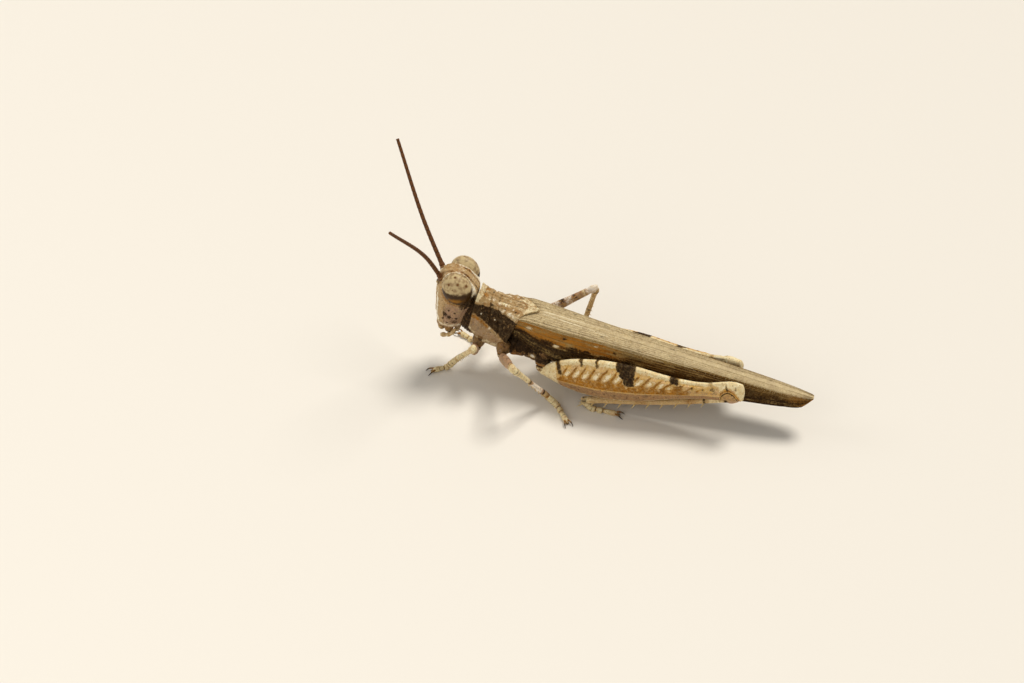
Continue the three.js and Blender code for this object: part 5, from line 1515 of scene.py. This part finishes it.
# Horn: brown, smooth and glossy, and nearly black at the tips.
clawLook = dict(legLook, base="#8d6838", cloudy="#6f4e28", dark="#20140a", gloss=0.3, fleckShare=0.05)
clawCuticle = cuticle("clawHorn", clawLook)
for legName, leg in legs.items():
    if leg["kind"] == "hind":
        thigh, shin = (makeJumpThigh, jumpCuticle, "hind_femur"), (makeHindShin, legCuticle, "hind_tibia")
    else:
        thigh, shin = (makeSlimThigh, legCuticle, "slim_leg"), (makeSlimShin, legCuticle, "slim_leg")
    for node, ending, (make, material, slotName) in (
            ("coxa_", "_joint", (makeHip, trunkCuticle, "thorax_shell")), ("femur_", "_shell", thigh),
            ("tibia_", "_shaft", shin), ("tarsus_", "_joints", (makeFoot, legCuticle, "tarsus"))):
        addPiece(node + legName + ending, make(leg), material, slotName, node + legName)
    addPiece("claws_" + legName, makeClaws(leg), clawCuticle, "tarsus")


# Spines in two rows along each shin, with spurs at its end.
def spineTree():
    # Stands a small cone on each point, along the direction and with the length that it carries.
    tree, start = newTree("shinSpines", {"Half Width": "Float"})
    cone = addNode(tree, "GeometryNodeMeshCone",
                   {"Radius Top": 0.08, "Radius Bottom": 1.0, "Depth": 1.0, "Side Segments": 4},
                   {"Vertices": (start, "Sides")})
    soft = addNode(tree, "GeometryNodeSetShadeSmooth", None, {"Geometry": (cone, "Mesh")})
    toward = addNode(tree, "GeometryNodeInputNamedAttribute", {"Name": "toward"}, data_type="FLOAT_VECTOR")
    long = addNode(tree, "GeometryNodeInputNamedAttribute", {"Name": "long"}, data_type="FLOAT")
    turn = addNode(tree, "FunctionNodeAlignRotationToVector", None, {"Vector": (toward, "Attribute")},
                   axis="Z")
    wide = addNode(tree, "ShaderNodeMath", None, {0: (long, "Attribute"), 1: (start, "Half Width")},
                   operation="MULTIPLY")
    size = addNode(tree, "ShaderNodeCombineXYZ", None, {0: wide, 1: wide, 2: (long, "Attribute")})
    stood = addNode(tree, "GeometryNodeInstanceOnPoints", None,
                    {"Points": start, "Instance": soft, "Rotation": turn, "Scale": size})
    return endTree(tree, start, stood)


def spinePoints(name, points, towards, longs):
    mesh = bpy.data.meshes.new(name)
    mesh.from_pydata(rowPlace(points).tolist(), [], [])
    addLayer(mesh, "toward", towards)
    addLayer(mesh, "long", np.asarray(longs, np.float32) * mm)
    return mesh


spineSizes = {
    # Each row: how many spines, where they start and end along the shin, their length and the spurs'.
    "hind": (9, 0.22, 0.93, 0.5, 0.75), "slim": (6, 0.45, 0.93, 0.3, 0.375),
    "spurAt": 0.985, "halfWidth": 0.15, "sides": 8, "floorGap": 0.03,
}
# Horn: smooth and darker than the leg, with a small glint on each spine.
spineLook = dict(legLook, base="#d2bd86", cloudy="#b3945a", dark="#2a1a0c", gloss=0.32, fleckShare=0.05)
spineCuticle = cuticle("spineHorn", spineLook)
shinSpineTree = spineTree()
for legName, leg in legs.items():
    if leg["kind"] == "hind":
        line, rows, slotName = hindShinLine(leg), legSizes["hindShinRows"], "hind_tibia"
    else:
        line, rows, slotName = route([leg["knee"], leg["heel"]]), legSizes["shinRows"], "slim_leg"
    count, first, last, spineLong, spurLong = spineSizes["hind" if leg["kind"] == "hind" else "slim"]
    places = np.linspace(first, last, count)
    # Each spine: place, spread to the side, lean towards the foot, length. Two spurs end the row.
    spines = [(place, 0.75, 0.6, spineLong * (0.8 + 0.3 * place)) for place in places]
    spines += [(spineSizes["spurAt"], spread, 1.3, spurLong) for spread in (1.15, 0.35)]
    points, towards, longs = [], [], []
    for lean in (-1, 1):
        for place, spread, footward, long in spines:
            forward = ahead(line, place)
            sideways = unit(np.cross(forward, (0, 0, 1)))
            under = unit(np.cross(forward, sideways))
            under = under if under[2] < 0 else -under
            out = unit(under + sideways * lean * spread)
            points.append(along(line, place) + out * eased(rows, place, 1) * 0.8)
            towards.append(unit(out * 0.75 + forward * footward))
            longs.append(long)
    points, towards, longs = np.array(points), np.array(towards), np.array(longs)
    gap = spineSizes["floorGap"]
    tooLow = points[:, 2] + towards[:, 2] * longs < gap
    longs = np.where(tooLow, (points[:, 2] - gap) / np.maximum(-towards[:, 2], 0.01), longs)
    roots = spinePoints("spineRoots", points, towards, longs)
    mesh = grown("spines_" + legName, roots, shinSpineTree, {
        "Half Width": spineSizes["halfWidth"], "Sides": spineSizes["sides"], "Material": spineCuticle})
    addPiece("spines_" + legName, mesh, spineCuticle, slotName)
print("legs made")


# Floor, lights and camera.
studio = {
    "azimuth": 106.0, "elevation": 42.5, "aim": (2.38, -5.96, 5.31), "lens": 150.0, "fieldWidth": 80.0,
    "floorReach": 12.0, "paper": "#e9e4da", "air": (1.0, 0.97, 0.93, 1.0), "airStrength": 0.3,
    # Lamps: place in metres, energy and tint.
    "keyLamp": ((-0.14, 0.1, 0.36), 2.45, (1.0, 0.96, 0.9)),
    "fillLamp": ((0.3, -0.12, 0.2), 0.32, (1.0, 0.97, 0.92)),
    "faceLamp": ((0.02, -0.35, 0.2), 0.2, (1.0, 0.98, 0.95)),
}

# Matt paper: an even, pale ground with no sheen, so that the shadow of each foot shows.
paper = bpy.data.materials.new("palePaper")
paper.use_nodes = True
paperShader = paper.node_tree.nodes["Principled BSDF"]
paperShader.inputs["Base Color"].default_value = linearColour(studio["paper"])
paperShader.inputs["Roughness"].default_value = 0.9

floorMesh = bpy.data.meshes.new("floor")
reach = studio["floorReach"]
corners = [(-reach, -reach, 0), (reach, -reach, 0), (reach, reach, 0), (-reach, reach, 0)]
floorMesh.from_pydata(corners, [], [(0, 1, 2, 3)])
floorMesh.materials.append(paper)
floor = newObject("floor", floorMesh)


def addLight(name, kind, **settings):
    place, energy, tint = studio[name]
    lamp = bpy.data.lights.new(name, kind)
    for setting, value in dict(settings, energy=energy, color=tint).items():
        setattr(lamp, setting, value)
    holder = newObject(name, lamp)
    holder.location = place
    holder.rotation_mode = "QUATERNION"
    holder.rotation_quaternion = (Vector((0, 0, 0.005)) - Vector(place)).to_track_quat("-Z", "Y")


addLight("keyLamp", "SUN", angle=math.radians(22))
addLight("fillLamp", "AREA", shape="DISK", size=0.3)
addLight("faceLamp", "AREA", shape="DISK", size=0.2)

world = bpy.data.worlds.new("studioAir")
world.use_nodes = True
world.node_tree.nodes["Background"].inputs[0].default_value = studio["air"]
world.node_tree.nodes["Background"].inputs[1].default_value = studio["airStrength"]
bpy.context.scene.world = world
bpy.context.scene.view_settings.view_transform = "Standard"

azimuth, elevation = math.radians(studio["azimuth"]), math.radians(studio["elevation"])
back = Vector((math.sin(azimuth) * math.cos(elevation), -math.cos(azimuth) * math.cos(elevation),
               math.sin(elevation)))
cameraData = bpy.data.cameras.new("camera")
cameraData.lens = studio["lens"]
cameraData.clip_start = 0.01
distance = studio["fieldWidth"] * mm * studio["lens"] / cameraData.sensor_width
camera = newObject("camera", cameraData)
camera.location = Vector(studio["aim"]) * mm + back * distance
camera.rotation_mode = "QUATERNION"
camera.rotation_quaternion = back.to_track_quat("Z", "Y")
bpy.context.scene.camera = camera

print("stage set")
